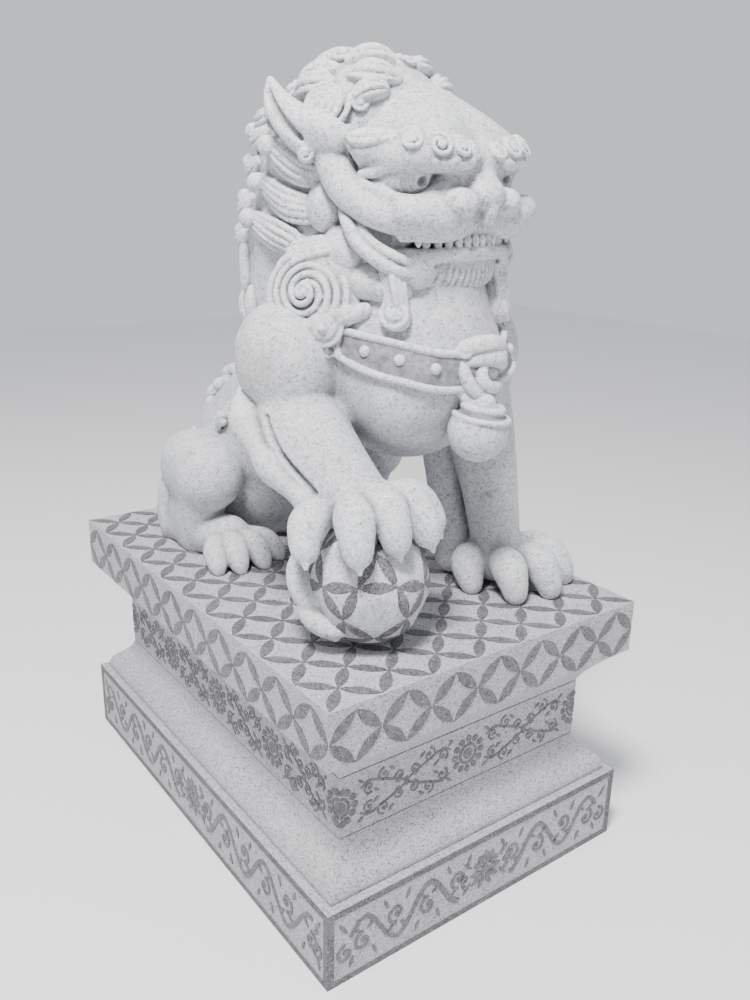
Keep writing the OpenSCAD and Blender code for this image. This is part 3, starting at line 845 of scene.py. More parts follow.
def part_mane(hair, discs, material):
    """Shares the carved mane out: the crown, the back, either side, and the shoulder swirls."""
    h = hair.h
    hollow = hollows(hair)
    z = hair.lo[2] + h * np.arange(hair.n[2], dtype=F)[None, None, :]
    y = hair.lo[1] + h * np.arange(hair.n[1], dtype=F)[None, :, None]
    x = hair.lo[0] + h * np.arange(hair.n[0], dtype=F)[:, None, None]
    swirl = blank(hair)
    for c, n, s in discs:
        swirl.ball(c, (126, 118, 78), turn=faced(n))
        swirl.ball((M(s, 194), -238, 1262.0), 62, k=6)
    low = np.maximum(z - 1650, -swirl.d)
    right, left = np.maximum(y - 70, x - F(MIDDLE)), np.maximum(y - 70, F(MIDDLE) - x)
    for name, border, lo, hi in (
            ("mane_crown_carved", 1650 - z, (-330, -450, 1630), (380, 330, 1840)),
            ("mane_back_carved", np.maximum(low, 70 - y), (-330, 50, 1060), (380, 330, 1670)),
            ("mane_right_carved", np.maximum(low, right), (-330, -450, 1060), (50, 90, 1670)),
            ("mane_left_carved", np.maximum(low, left), (0, -450, 1060), (380, 90, 1670)),
            ("shoulder_swirls_carved", swirl.d, (-330, -330, 1160), (380, 0, 1470))):
        piece = Clay(lo, hi, h)
        whole = hair.copy()
        whole.d = shared(hair.d, np.broadcast_to(border, hair.d.shape), LAP * h)
        piece.d = shifted(whole, piece)
        cast(name, piece, hollow, material)


def build_mane(h, material):
    core, discs = mane_core(h)
    hair = core.copy()
    for c, n, s in discs:
        side_swirls(hair, core, c, n, s)
        mane_rows(hair, core, s)
        hanging_locks(hair, core, s)
        crown_hair(hair, core, s)
    back_curls(hair, core)
    part_mane(hair, discs, material)


# ---------------------------------------------------------------- beard, collar, bell, ball and ribbon

CHEST = np.array((38.0, -215.0, 1190.0))


def both(p, s):
    """A point given for the lion's right (s = 1), or its mirror image about the chest."""
    return (38 + s * (p[0] - 38),) + tuple(p[1:])


def build_beard(body, h, material):
    """Two locks that hang from the corners of the jaw and end in curls on the chest."""
    chest = resampled(body, (-190, -480, 1180), (270, -120, 1440), h)
    beard = blank(chest)
    for s in (1, -1):
        lock(beard, chest, [both(p, s) for p in ((-92, -262, 1404, 13), (-88, -300, 1360, 19),
                                                 (-94, -325, 1326, 16), (-98, -345, 1302, 10))],
             strands=3, proud=26)
        for p, r in (((-96, -322, 1398), 26), ((-100, -336, 1364), 22), ((-100, -346, 1334), 19),
                     ((-96, -350, 1308), 22)):
            beard.ball(both(p, s), r, k=16)
        for e in (-1, 0, 1):
            beard.tube([both(p, s) for p in ((-96 + e * 15, -346, 1400, 6), (-100 + e * 13, -358, 1364, 6.5),
                    (-100 + e * 11, -366, 1334, 6.5), (-96 + e * 11, -370, 1306, 5))], n=14, k=2)
        q = chest.snap(np.array([both((-92, -350, 1290), s)], float), 6)[0]
        n = chest.normal(q[None])[0]
        beard.ball(q, 30, k=5)
        twist(beard, q + n * 4, n, 33, 2.0, 5.4, (0, 0, 1), hand=s, dome=0.62, k=2.5, hub=10)
    cast("beard_carved", beard, hollows(beard), material)


def build_collar(body, h, material, rough):
    """A flat band between two round rims, over the chest from shoulder to shoulder."""
    chest = resampled(body, (-200, -480, 1120), (280, -100, 1300), h)
    ang = np.array((0, 20, 31, 41, 50, 64, 77, 93, 112.0))
    mid = np.array((1184, 1188, 1194, 1203, 1210, 1221, 1231, 1241, 1252.0))
    half = np.array((36, 36, 36, 36, 36, 33, 28, 22, 20.0))
    x = (chest.lo[0] + h * np.arange(chest.n[0], dtype=F))[:, None, None]
    y = (chest.lo[1] + h * np.arange(chest.n[1], dtype=F))[None, :, None]
    z = (chest.lo[2] + h * np.arange(chest.n[2], dtype=F))[None, None, :]
    a = np.degrees(np.arctan2(np.abs(x - CHEST[0]), -(y - CHEST[1])))
    band = np.maximum(chest.d - 7, np.abs(z - np.interp(a, ang, mid)) - np.interp(a, ang, half))
    collar = blank(chest)
    collar.d = np.maximum(np.maximum(band, -16 - chest.d), np.broadcast_to(a - 108, band.shape)).astype(F)
    for up in (-1, 1):
        t = np.linspace(-106, 106, 61)
        q = np.stack([CHEST[0] + 205 * np.sin(np.radians(t)), CHEST[1] - 215 * np.cos(np.radians(t)),
                      np.interp(np.abs(t), ang, mid) + up * np.interp(np.abs(t), ang, half)], 1)
        q = chest.snap(q, 8)
        collar.tube(np.hstack([q, np.full((61, 1), 7.2)]), n=90, k=2)
    cast("collar_carved", collar, hollows(collar), material)
    # its ground between the rims, blasted rough and holding the dirt
    ground = blank(chest)
    inner = np.abs(z - np.interp(a, ang, mid)) - np.interp(a, ang, half) + 5
    ends = np.maximum(-chest.d, np.broadcast_to(a - 107, band.shape))
    ground.d = np.maximum(np.maximum(chest.d - 8.2, inner), ends).astype(F)
    cast("collar_ground", ground, hollows(ground), rough)
    studs = blank(chest)
    for t in (-82, -62, -42.5, -24, 24, 42.5, 62, 82):
        q = np.array([(CHEST[0] + 205 * math.sin(math.radians(t)), CHEST[1] - 215 * math.cos(math.radians(t)),
                       np.interp(abs(t), ang, mid) + 3)])
        q = chest.snap(q, 7)[0]
        studs.ball(q, 12)
    cast("collar_studs_carved", studs, hollows(studs), material)


def build_knot(h, material):
    """A ribbon folded over itself, with a curled end on either side."""
    knot = Clay((-60, -520, 1070), (190, -360, 1290), h)
    c = np.array((64.0, -424.0, 1176.0))
    knot.ball(c + (0, 6, 6), (56, 34, 62))
    for p in ([(-56, 6, 44, 8), (-34, -14, 60, 12), (4, -22, 62, 14), (40, -12, 56, 13), (60, 10, 42, 9)],
              [(-50, 4, 22, 8), (-20, -20, 34, 11), (18, -30, 34, 12), (50, -14, 20, 10), (58, 6, 2, 7)],
              [(-44, 0, 40, 7), (-48, -12, 8, 9), (-34, -22, -22, 10), (-4, -28, -44, 10), (34, -16, -56, 8)],
              [(-10, -26, 18, 7), (-18, -32, -4, 9), (0, -36, -22, 9), (32, -24, -26, 8), (50, -4, -20, 6)],
              [(-52, -2, -30, 6), (-36, -14, -50, 8), (-8, -18, -66, 8), (22, -10, -72, 6)]):
        knot.tube([tuple(c + q[:3]) + (q[3] * 1.45,) for q in np.array(p, float)], n=22, k=2)
    twist(knot, c + (-46, -10, 52), (-0.5, -0.8, 0.2), 17, 1.5, 4.5, (0, 0, 1), hand=1, dome=0.5, k=2, hub=5)
    twist(knot, c + (34, -24, 40), (0.4, -0.9, 0.1), 20, 1.6, 4.5, (0, 0, -1), hand=-1, dome=0.5, k=2, hub=5)
    twist(knot, c + (-30, -18, -54), (-0.3, -0.9, -0.1), 15, 1.4, 4.0, (0, 0, 1), hand=1, dome=0.5, k=2,
          hub=4)
    cast("tassel_knot_carved", knot, hollows(knot), material)


def build_bell(h, material):
    """A ball with a rolled lip and a dark slot that run over its brow."""
    bell = Clay((-40, -530, 970), (140, -370, 1150), h)
    c = np.array((50.0, -450.0, 1063.0))
    bell.ball(c, (66, 62, 66))
    n = unit(np.array((0.10, -0.10, 0.99)))
    e = unit(np.cross(n, (0, 0, 1)))
    g = np.cross(n, e)
    for r, up, bar, cut in ((40, 50, 7, False), (51, 41, 5, True), (58, 31, 5, False)):
        t = np.linspace(0, 2 * math.pi, 49)
        q = c + n * up + r * (np.cos(t)[:, None] * e + np.sin(t)[:, None] * g)
        bell.tube(np.hstack([q, np.full((49, 1), float(bar))]), n=64, k=3, cut=cut)
    bell.ball(c + n * 58, 24, k=6)
    cast("chest_bell_carved", bell, hollows(bell), material)


def build_ball(h, material, dark):
    """Flat between its dark petals, which lie on the edges of a grid of triangles and pentagons."""
    ball = Clay((-340, -560, 630), (-50, -260, 910), h)
    c = np.array((-195.0, -410.0, 768.0))
    R = 126.0
    g = (1 + 5 ** 0.5) / 2
    tilt = turned(x=18, y=11, z=7)
    corners = [tilt @ unit(np.array(p, float)) for p in
               [(-1, g, 0), (1, g, 0), (-1, -g, 0), (1, -g, 0), (0, -1, g), (0, 1, g), (0, -1, -g),
                (0, 1, -g), (g, 0, -1), (g, 0, 1), (-g, 0, -1), (-g, 0, 1)]]
    mids = [unit(a + b) for i, a in enumerate(corners) for b in corners[i + 1:]
            if np.linalg.norm(a - b) < 1.2]
    spans = [(a, b) for i, a in enumerate(mids) for b in mids[i + 1:] if np.linalg.norm(a - b) < 0.64]
    ball.ball(c, R)
    for v in corners:
        ball.plane(c + v * R * 0.955, v)
    petals = blank(ball)
    gx, gy, gz = (ball.lo[i] + h * np.arange(ball.n[i], dtype=F) - F(c[i]) for i in range(3))
    gx, gy, gz = gx[:, None, None], gy[None, :, None], gz[None, None, :]
    far = np.sqrt(gx * gx + gy * gy + gz * gz)
    for a, b in spans:
        m, along = unit(a + b), unit(b - a)
        across = np.cross(m, along)
        u, v, w = (F(t[0]) * gx + F(t[1]) * gy + F(t[2]) * gz for t in (along, across, m))
        half = F(np.linalg.norm(b - a) * R / 2)
        lens = np.abs(v) - 12.5 * (1 - (u / half) ** 2)
        np.minimum(petals.d, np.maximum(lens, F(20) - w), out=petals.d)
    petals.d = np.maximum(petals.d, np.maximum(far - (R + 0.9), (R - 9) - far)).astype(F)
    ball.plane((0, 0, GROUND), (0, 0, -1))
    cast("embroidered_ball_carved", ball, hollows(ball), material)
    petals.plane((0, 0, GROUND), (0, 0, -1))
    cast("ball_petals", petals, hollows(petals), dark)


def build_ribbon(h, material):
    """Folded down the ball's side from under the thumb."""
    rib = Clay((-380, -500, 630), (-230, -270, 860), h)
    for p in ([(-300, -312, 812, 16), (-318, -332, 796, 21), (-326, -356, 772, 24), (-322, -378, 746, 21),
               (-310, -394, 728, 15)],
              [(-296, -330, 806, 12), (-312, -352, 790, 14), (-318, -378, 768, 14), (-310, -402, 748, 11)],
              [(-322, -366, 742, 13), (-328, -384, 726, 18), (-322, -408, 710, 20), (-306, -432, 698, 17),
               (-286, -450, 694, 9)],
              [(-300, -386, 716, 12), (-304, -412, 700, 14), (-292, -434, 682, 12)]):
        rib.tube(p, n=16, k=4)
    cast("ball_ribbon_carved", rib, hollows(rib), material)


# ---------------------------------------------------------------- the plinth's inlaid reliefs

CELL = 122.5        # one repeat of the petal lattice


class Inlay:
    """Thin raised shapes drawn on flat faces, gathered into one mesh."""

    def __init__(s, height=1.1):
        s.h, s.v, s.f = height, [], []
        s.layer = 0

    def face(s, origin, across, up):
        s.o, s.a, s.b = (np.array(t, float) for t in (origin, across, up))
        s.n = np.cross(s.a, s.b)

    def patch(s, outline):
        """A flat shape with upright sides, from its outline taken anticlockwise."""
        p = np.array(outline, float)
        k, at = len(p), len(s.v)
        # shapes that cross each other lie a hair apart in height, so that no two faces share a plane
        s.layer = (s.layer + 1) % 9
        rise = s.h + 0.06 * s.layer
        base = s.o + p[:, :1] * s.a + p[:, 1:] * s.b
        s.v += list(base + s.n * rise) + list(base - s.n * 1.0)
        s.f.append(list(range(at, at + k)))
        s.f += [[at + i, at + k + i, at + k + (i + 1) % k, at + (i + 1) % k] for i in range(k)]
        s.f.append([at + k + i for i in reversed(range(k))])

    def lens(s, p, q, width, steps=7):
        p, q = np.array(p, float), np.array(q, float)
        d = q - p
        n = np.array((d[1], -d[0])) / np.linalg.norm(d)
        t = np.linspace(0, 1, steps)[:, None]
        w = width / 2 * np.sin(np.pi * t) ** 0.9
        s.patch(np.vstack([p + d * t + n * w, (p + d * t - n * w)[::-1][1:-1]]))

    def disc(s, c, r, k=20, r2=None, turn=0.0):
        a = np.linspace(0, 2 * np.pi, k + 1)[:-1]
        x, y = r * np.cos(a), (r2 or r) * np.sin(a)
        cos, sin = math.cos(turn), math.sin(turn)
        s.patch(np.stack([c[0] + x * cos - y * sin, c[1] + x * sin + y * cos], 1))

    def ring(s, c, r, w, k=28):
        a = np.linspace(0, 2 * np.pi, k + 1)
        s.stroke([(c[0] + r * math.cos(t), c[1] + r * math.sin(t), w) for t in a], k + 1)

    def stroke(s, points, steps):
        """A band of changing width along points (u, v, width)."""
        p = path(points, steps)
        d = unit(np.gradient(p[:, :2], axis=0))
        n = np.stack([d[:, 1], -d[:, 0]], 1) * p[:, 2:] / 2
        a, b = p[:, :2] + n, p[:, :2] - n
        for i in range(len(p) - 1):
            s.patch([a[i], a[i + 1], b[i + 1], b[i]])

    def curl(s, c, r, start, turns, w, hand=1, steps=22):
        """A spiral band that winds in to c, starting at an angle in degrees."""
        f = np.linspace(0, 1, steps)
        a = math.radians(start) + hand * 2 * math.pi * turns * f
        q = r * (1 - 0.8 * f)
        s.stroke(np.stack([c[0] + q * np.cos(a), c[1] + q * np.sin(a), w * (1 - 0.45 * f)], 1), steps)
        s.disc(c, w * 0.62, 10)

    def cast(s, name, material, slot="granite_honed"):
        me = bpy.data.meshes.new(name)
        me.from_pydata([tuple(v / 1000) for v in s.v], [], s.f)
        me.validate()
        me.materials.append(material)
        o = bpy.data.objects.new(name, me)
        bpy.context.scene.collection.objects.link(o)
        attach(o, "root")


def sides(w, d, z):
    """A course's four upright faces: the middle of each, the way across it, and its length."""
    return (((0, -d / 2, z), (1, 0, 0), w), ((w / 2, 0, z), (0, 1, 0), d),
            ((0, d / 2, z), (-1, 0, 0), w), ((-w / 2, 0, z), (0, -1, 0), d))


def slab_petals(material):
    ink = Inlay()
    w, d = PLINTH
    for o, across, length in sides(w, d, 572):
        ink.face(o, across, (0, 0, 1))
        cells = round(length / CELL)
        c = length / cells
        for i in range(cells):
            x = -length / 2 + c * i
            for up in (-1, 1):
                ink.lens((x + 1, 0), (x + c / 2, up * 56), 26)
                ink.lens((x + c - 1, 0), (x + c / 2, up * 56), 26)
    ink.face((0, 0, GROUND), (1, 0, 0), (0, 1, 0))
    cx, cy = (w - 6) / 7, (d - 6) / 10
    for i in range(-3, 4):
        for j in range(-5, 5):
            x, y = i * cx, (j + 0.5) * cy
            for sx in (-1, 1):
                for sy in (-1, 1):
                    ink.lens((x, y), (x + sx * cx / 2, y + sy * cy / 2), 26)
    ink.cast("top_slab_petals", material)


def rosette(ink, x, y, r=46):
    ink.disc((x, y), r * 0.30, 24)
    ink.ring((x, y), r * 0.50, r * 0.16, 28)
    for k in range(12):
        a = 2 * math.pi * k / 12
        ink.disc((x + r * 0.83 * math.cos(a), y + r * 0.83 * math.sin(a)), r * 0.20, 10, r * 0.17, a)


def waist_scrolls(material):
    ink = Inlay()
    w, d, z = PLINTH[0] - 160, PLINTH[1] - 160, 350.0
    for o, across, length in sides(w, d, z):
        ink.face(o, across, (0, 0, 1))
        spots = [-length / 2, 0, length / 2]
        if length > 900:
            spots = [-length / 2, -length / 4, 0, length / 4, length / 2]
        for x in spots[1:-1]:
            rosette(ink, x, 0)
        for x, s in ((-length / 2, 1), (length / 2, -1)):
            # half of the corner rosette that wraps round the edge
            ink.patch([(x + s * 16 * math.sin(a), -s * 16 * math.cos(a)) for a in np.linspace(0, np.pi, 13)])
            for k in range(7):
                a = math.pi * (k / 6 - 0.5)
                ink.disc((x + s * max(7.5, 38 * math.cos(a)), 38 * math.sin(a)), 8.5, 10)
            ink.stroke([(x + s * 23 * math.cos(a), 23 * math.sin(a), 7) for a in np.linspace(-1.5, 1.5, 15)],
                       15)
        for a, b in zip(spots[:-1], spots[1:]):
            m = (a + b) / 2
            half = (b - a) / 2 - 52
            for s in (-1, 1):
                for up in (-1, 1):
                    # a stem with curls that turn off it above and below
                    ink.stroke([(m + s * 6, up * 6, 5), (m + s * half * 0.4, up * 24, 6),
                                (m + s * half * 0.8, up * 40, 6), (m + s * half, up * 30, 4)], 18)
                    for f, r, v, st in ((0.16, 15, 22, -90), (0.50, 17, 40, 90), (0.82, 15, 24, -60)):
                        hand = s * up * (1 if st < 0 else -1)
                        ink.curl((m + s * half * f, up * v), r, st * up, 1.25, 5.5, hand=hand, steps=20)
                    for f, v in ((0.33, 48), (0.66, 12), (0.98, 46)):
                        ink.lens((m + s * (half * f - 7), up * (v - 6)),
                                 (m + s * (half * f + 9), up * (v + 6)), 8, 5)
            ink.disc((m, 0), 7, 12, 12)
    ink.cast("waist_scrolls", material)


def peony(ink, x, y):
    ink.disc((x, y + 2), 9, 14, 13)
    for k in range(5):
        a = math.radians(-70 + 35 * k)
        cos, sin = math.cos(a), math.sin(a)
        ink.lens((x + 11 * sin, y + 6 + 11 * cos), (x + 40 * sin, y + 6 + 44 * cos), 17, 7)
    for s in (-1, 1):
        ink.lens((x + s * 8, y - 6), (x + s * 46, y - 2), 15, 7)
        ink.lens((x + s * 6, y - 12), (x + s * 40, y - 30), 15, 7)
        ink.lens((x + s * 2, y - 16), (x + s * 18, y - 48), 13, 7)
        ink.lens((x + s * 42, y + 18), (x + s * 66, y + 40), 10, 5)
        ink.lens((x + s * 42, y - 18), (x + s * 66, y - 44), 10, 5)
        ink.curl((x + s * 62, y), 15, 90, 1.1, 6, hand=-s)


def base_vines(material):
    ink = Inlay(1.9)
    for o, across, length in sides(PLINTH[0] - 4, PLINTH[1] - 4, 92.5):
        ink.face(o, across, (0, 0, 1))
        peony(ink, 0, 2)
        room = length / 2 - 40
        waves = 2 if length < 1000 else 3
        for s in (-1, 1):
            n = 24 * waves
            t = np.linspace(0, 1, n)
            u = s * (78 + (room - 92) * t)
            v = 46 * np.cos(2 * np.pi * waves * t * 0.85 + np.pi)
            ink.stroke(np.stack([u, v, np.full(n, 13.0) - 4 * t], 1), n)
            for k in range(int(waves * 2 * 0.85) + 1):
                # a curl in the lap of each bend, with leaves off its back
                f = (k + 0.02) / (2 * waves * 0.85)
                if f > 1:
                    continue
                cu = s * (78 + (room - 92) * f)
                side = -1 if k % 2 else 1
                ink.curl((cu, side * 12), 24, -90 * side, 1.15, 8.5, hand=s * side)
                for g, w in ((-1, 9), (1, 9)):
                    ink.lens((cu + g * 24, side * 36), (cu + g * 34, side * 62), w, 5)
                    ink.lens((cu + g * 8, side * -14), (cu + g * 30, side * -30), w, 5)
            ink.curl((s * (room - 2), -22), 22, 90, 1.2, 8, hand=-s)
            ink.lens((s * (room - 6), 28), (s * (room + 14), 58), 9, 5)
    ink.cast("base_vines", material, "granite_plinth")


# ---------------------------------------------------------------- stone

class Graph:
    """Short names for building a material's nodes."""

    def __init__(s, name):
        s.m = bpy.data.materials.new(name)
        s.m.use_nodes = True
        s.t = s.m.node_tree
        s.shader = s.t.nodes["Principled BSDF"]
        s.at = s.add("ShaderNodeTexCoord").outputs["Object"]

    def add(s, kind, **values):
        n = s.t.nodes.new(kind)
        for k, v in values.items():
            setattr(n, k, v)
        return n

    def put(s, socket, value):
        if isinstance(value, bpy.types.NodeSocket):
            s.t.links.new(value, socket)
        elif isinstance(value, tuple) and len(value) == 3 and socket.type == "RGBA":
            socket.default_value = (*value, 1)
        else:
            socket.default_value = value

    def noise(s, scale, detail=3.0, rough=0.55):
        n = s.add("ShaderNodeTexNoise")
        s.put(n.inputs["Vector"], s.at)
        n.inputs["Scale"].default_value, n.inputs["Detail"].default_value = scale, detail
        n.inputs["Roughness"].default_value = rough
        return n.outputs["Fac"]

    def cells(s, scale, output="Color", feature="F1"):
        n = s.add("ShaderNodeTexVoronoi", feature=feature)
        s.put(n.inputs["Vector"], s.at)
        n.inputs["Scale"].default_value = scale
        return n.outputs[output]

    def ramp(s, value, a, b, low=0.0, high=1.0):
        n = s.add("ShaderNodeMapRange")
        for i, v in enumerate((value, a, b, low, high)):
            s.put(n.inputs[i], v)
        return n.outputs[0]

    def calc(s, op, a, b=0.0):
        n = s.add("ShaderNodeMath", operation=op)
        s.put(n.inputs[0], a)
        s.put(n.inputs[1], b)
        return n.outputs[0]

    def mix(s, f, a, b, kind="MIX"):
        n = s.add("ShaderNodeMix", data_type="RGBA", blend_type=kind)
        s.put(n.inputs["Factor"], f)
        s.put(n.inputs[6], a)
        s.put(n.inputs[7], b)
        return n.outputs[2]

    def grains(s, scale, light, mid, black, white, share=(0.10, 0.34, 0.86)):
        """Crystals of stone: each cell is black mica, grey quartz, pale feldspar or a white glint."""
        n = s.add("ShaderNodeSeparateColor")
        s.put(n.inputs[0], s.cells(scale))
        r = s.add("ShaderNodeValToRGB")
        s.put(r.inputs[0], n.outputs[0])
        e = r.color_ramp
        e.interpolation = "LINEAR"
        e.elements[0].position, e.elements[0].color = share[0], (*black, 1)
        e.elements[1].position, e.elements[1].color = 1.0, (*white, 1)
        for p, c in ((share[0] + 0.05, mid), (share[1], mid), (share[1] + 0.1, light), (share[2], light)):
            k = e.elements.new(p)
            k.color = (*c, 1)
        return r.outputs[0]

    def bump(s, height, strength, distance, below=None):
        n = s.add("ShaderNodeBump")
        n.inputs["Strength"].default_value, n.inputs["Distance"].default_value = strength, distance
        s.put(n.inputs["Height"], height)
        if below is not None:
            s.put(n.inputs["Normal"], below)
        return n.outputs[0]

    def finish(s, colour, roughness, normal):
        s.put(s.shader.inputs["Base Color"], colour)
        s.put(s.shader.inputs["Roughness"], roughness)
        s.put(s.shader.inputs["Normal"], normal)
        return s.m


def carved_granite(name, grime=0.0):
    g = Graph(name)
    colour = g.grains(330, (0.64, 0.65, 0.67), (0.47, 0.485, 0.51), (0.20, 0.205, 0.22), (0.84, 0.84, 0.85),
                      (0.08, 0.36, 0.90))
    coarse = g.grains(150, (0.64, 0.65, 0.67), (0.52, 0.53, 0.55), (0.30, 0.31, 0.33), (0.80, 0.80, 0.81))
    colour = g.mix(0.42, colour, coarse)
    cloud = g.noise(5.5, 5.0)
    colour = g.mix(1.0, colour, g.mix(cloud, (0.88, 0.885, 0.90), (1.06, 1.06, 1.06)), "MULTIPLY")
    stain = g.ramp(g.noise(2.6, 4.0, 0.65), 0.56, 0.74)
    colour = g.mix(g.calc("MULTIPLY", stain, 0.30), colour, (0.50, 0.465, 0.41))
    # painted shade and painted highlight: the hollow attribute darkens recesses and creases nearly to black
    # as painted shade, and lightens proud parts as a painted highlight
    h = g.add("ShaderNodeAttribute", attribute_name="hollow").outputs["Fac"]
    uneven = g.ramp(g.noise(38, 3.0), 0.25, 0.75, 0.65, 1.25)
    painted_hollow_shade = g.calc("MULTIPLY", g.ramp(h, 0.6, -2.6), uneven)
    colour = g.mix(g.calc("MULTIPLY", painted_hollow_shade, 0.88), colour, (0.11, 0.11, 0.12))
    proud = g.calc("MULTIPLY", g.ramp(h, 1.5, 4.0), 0.30)
    colour = g.mix(proud, colour, (0.78, 0.78, 0.79))
    # darker towards the bottom of the lion, near the slab, in blotches
    z = g.add("ShaderNodeSeparateXYZ")
    g.put(z.inputs[0], g.at)
    low = g.calc("MULTIPLY", g.ramp(z.outputs[2], 0.86, 0.64), g.ramp(g.noise(11, 4.0), 0.36, 0.68))
    colour = g.mix(g.calc("MULTIPLY", low, 0.36), colour, (0.27, 0.262, 0.245))
    if grime:
        colour = g.mix(g.calc("MULTIPLY", uneven, grime), colour, (0.12, 0.12, 0.13))
    rough = g.ramp(g.noise(70, 2.0), 0.3, 0.7, 0.74, 0.93)
    pits = g.bump(g.noise(420, 3.0, 0.7), 0.45, 0.0016)
    pits = g.bump(g.noise(120, 2.0), 0.30, 0.0030, pits)
    pits = g.bump(g.noise(26, 3.0), 0.22, 0.006, pits)
    return g.finish(colour, rough, pits)


def blasted_granite(name, framed=False):
    """The plinth's sandblasted ground; the outermost faces of the ground course are honed frames."""
    g = Graph(name)
    colour = g.grains(420, (0.43, 0.43, 0.46), (0.33, 0.335, 0.36), (0.15, 0.15, 0.165), (0.60, 0.60, 0.62))
    cloud = g.noise(4.0, 5.0, 0.6)
    colour = g.mix(1.0, colour, g.mix(cloud, (0.84, 0.84, 0.86), (1.10, 1.08, 1.07)), "MULTIPLY")
    stain = g.ramp(g.noise(1.7, 5.0, 0.7), 0.52, 0.76)
    colour = g.mix(g.calc("MULTIPLY", stain, 0.35), colour, (0.36, 0.33, 0.30))
    streak = g.add("ShaderNodeMapping")
    g.put(streak.inputs[0], g.at)
    streak.inputs["Scale"].default_value = (14, 14, 0.9)
    run = g.add("ShaderNodeTexNoise")
    g.put(run.inputs["Vector"], streak.outputs[0])
    run.inputs["Scale"].default_value = 1.6
    colour = g.mix(g.calc("MULTIPLY", g.ramp(run.outputs["Fac"], 0.52, 0.8), 0.30), colour,
                   (0.25, 0.245, 0.25))
    rough = g.ramp(g.noise(60, 2.0), 0.3, 0.7, 0.70, 0.90)
    pits = g.bump(g.noise(520, 3.0, 0.7), 0.35, 0.0010)
    pits = g.bump(g.noise(60, 2.0), 0.15, 0.0020, pits)
    if framed:
        p = g.add("ShaderNodeSeparateXYZ")
        g.put(p.inputs[0], g.at)
        out = g.calc("MAXIMUM", g.calc("SUBTRACT", g.calc("ABSOLUTE", p.outputs[0]), PLINTH[0] / 2000),
                     g.calc("SUBTRACT", g.calc("ABSOLUTE", p.outputs[1]), PLINTH[1] / 2000))
        frame_mask = g.calc("GREATER_THAN", out, -0.0010)
        colour = g.mix(frame_mask, colour, honed_colour(g))
    return g.finish(colour, rough, pits)


def honed_colour(g):
    c = g.grains(380, (0.115, 0.116, 0.126), (0.085, 0.086, 0.094), (0.035, 0.035, 0.04), (0.26, 0.26, 0.28),
                 (0.12, 0.38, 0.84))
    worn = g.ramp(g.noise(30, 5.0, 0.7), 0.50, 0.74)
    c = g.mix(g.calc("MULTIPLY", worn, 0.5), c, (0.21, 0.205, 0.21))
    return g.mix(1.0, c, g.mix(g.noise(5, 3.0), (0.78, 0.78, 0.78), (1.3, 1.26, 1.24)), "MULTIPLY")


def honed_granite():
    g = Graph("granite_honed_dark")
    rough = g.ramp(g.noise(45, 3.0), 0.3, 0.7, 0.42, 0.66)
    return g.finish(honed_colour(g), rough, g.bump(g.noise(500, 2.0), 0.12, 0.0006))


def mortar_mix():
    g = Graph("mortar")
    c = g.mix(g.noise(90, 4.0), (0.36, 0.34, 0.31), (0.52, 0.50, 0.46))
    return g.finish(c, g.ramp(g.noise(120), 0.3, 0.7, 0.82, 0.96), g.bump(g.noise(600, 3.0), 0.5, 0.0012))


def steel_bar():
    g = Graph("stainless_steel")
    g.shader.inputs["Metallic"].default_value = 1.0
    c = g.mix(g.noise(40, 4.0), (0.46, 0.46, 0.47), (0.60, 0.60, 0.61))
    return g.finish(c, g.ramp(g.noise(200, 2.0), 0.3, 0.7, 0.28, 0.46), g.bump(g.noise(900, 2.0), 0.15,
            0.0003))


stone, grimed = carved_granite("granite_carved"), carved_granite("granite_carved_grimed", 0.86)
dark, blasted = honed_granite(), blasted_granite("granite_honed_ground")
framed, grout, steel = blasted_granite("granite_plinth", True), mortar_mix(), steel_bar()


body = build_body(4.0, stone)
build_head(2.5, stone)
build_mane(2.8, stone)
fine = 2.4
build_beard(body, fine, stone)
build_collar(body, fine, stone, grimed)
build_knot(fine, stone)
build_bell(fine, stone)
build_ball(fine, stone, dark)
build_ribbon(fine, stone)
slab_petals(dark)
waist_scrolls(dark)
base_vines(dark)


# ---------------------------------------------------------------- stage, light and camera

def area(name, at, towards, size, watts, colour=(1, 1, 1)):
    d = bpy.data.lights.new(name, "AREA")
    d.shape, d.size, d.energy, d.color = "DISK", size, watts, colour
    o = bpy.data.objects.new(name, d)
    bpy.context.scene.collection.objects.link(o)
    o.location = at
    o.rotation_euler = (Vector(towards) - Vector(at)).to_track_quat("-Z", "Y").to_euler()


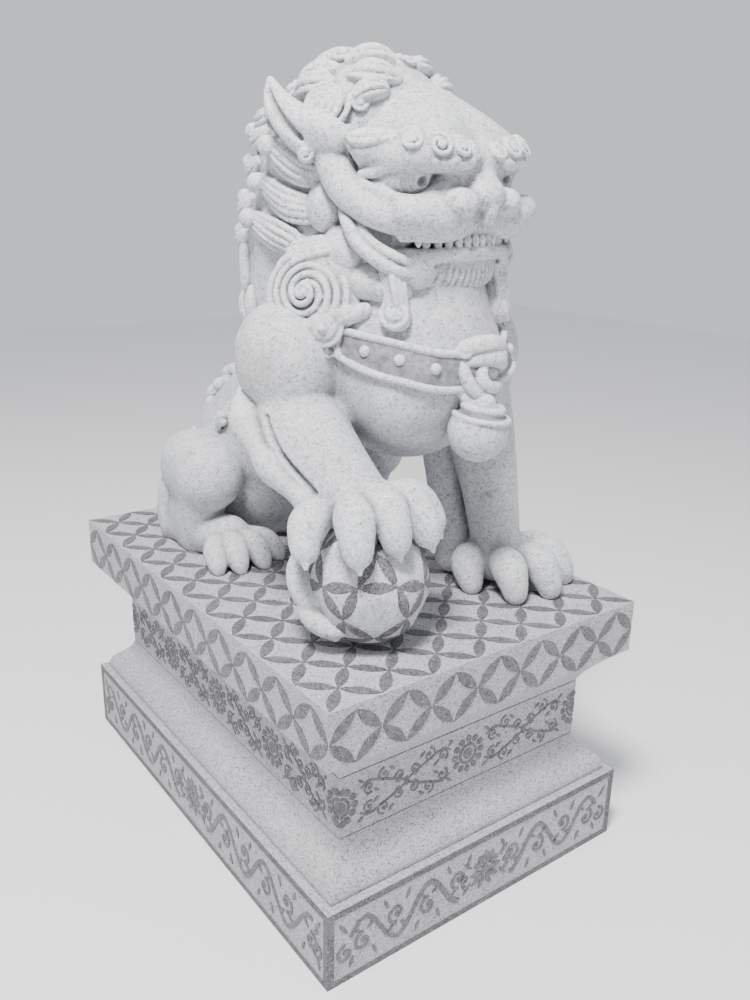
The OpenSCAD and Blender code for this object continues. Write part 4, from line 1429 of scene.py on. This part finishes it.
def stage():
    me = bpy.data.meshes.new("floor")
    me.from_pydata([(-9, -9, 0), (9, -9, 0), (9, 9, 0), (-9, 9, 0)], [], [(0, 1, 2, 3)])
    o = bpy.data.objects.new("floor", me)
    bpy.context.scene.collection.objects.link(o)
    m = bpy.data.materials.new("floor_pale")
    m.use_nodes = True
    b = m.node_tree.nodes["Principled BSDF"]
    b.inputs["Base Color"].default_value = (0.86, 0.86, 0.87, 1)
    b.inputs["Roughness"].default_value = 0.9
    me.materials.append(m)
    w = bpy.data.worlds.new("studio")
    w.use_nodes = True
    w.node_tree.nodes["Background"].inputs[0].default_value = (0.94, 0.96, 1.0, 1)
    w.node_tree.nodes["Background"].inputs[1].default_value = 0.80
    bpy.context.scene.world = w
    area("key", (-1.7, -1.5, 4.6), (0, -0.2, 1.2), 1.0, 430, (1.0, 0.985, 0.97))
    area("fill", (2.6, -3.4, 1.9), (0, 0, 0.8), 2.4, 30, (0.93, 0.96, 1.0))
    area("rim", (-2.0, 3.0, 3.4), (0, 0, 1.1), 2.0, 30)


def camera():
    d = bpy.data.cameras.new("camera")
    d.sensor_width = 36
    d.lens = 0.902 * d.sensor_width      # the focal length is 0.902 of the picture's longer side
    d.sensor_fit = "AUTO"
    o = bpy.data.objects.new("camera", d)
    bpy.context.scene.collection.objects.link(o)
    eye = (-1.2056, -1.7803, 1.5134)     # where the photo was taken from, in metres
    right = Vector((0.8052, -0.5927, 0.0202))
    ahead = Vector((0.5674, 0.7600, -0.3168)).normalized()
    right = (right - ahead * right.dot(ahead)).normalized()
    up = right.cross(ahead)
    o.matrix_world = Matrix((
        (right.x, up.x, -ahead.x, eye[0]), (right.y, up.y, -ahead.y, eye[1]),
        (right.z, up.z, -ahead.z, eye[2]), (0, 0, 0, 1)))
    bpy.context.scene.camera = o


stage()
camera()

for name, o in PIECES.items():
    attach(o, "root")
    node = name.rsplit("_carved", 1)[0]
    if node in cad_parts:
        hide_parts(node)

KEPT = {"base_course": framed, "moulding_course": blasted, "waist_course": blasted, "top_slab": blasted,
        "mortar_bed_lower": grout, "mortar_bed_middle": grout, "mortar_bed_upper": grout,
        "base_dowels": steel, "waist_dowels": steel, "slab_dowels": steel, "lion_dowels": steel}
for node, material in KEPT.items():
    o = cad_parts[node]
    if not o.material_slots:
        o.data.materials.append(material)
    for place in o.material_slots:
        place.link = "OBJECT"
        place.material = material
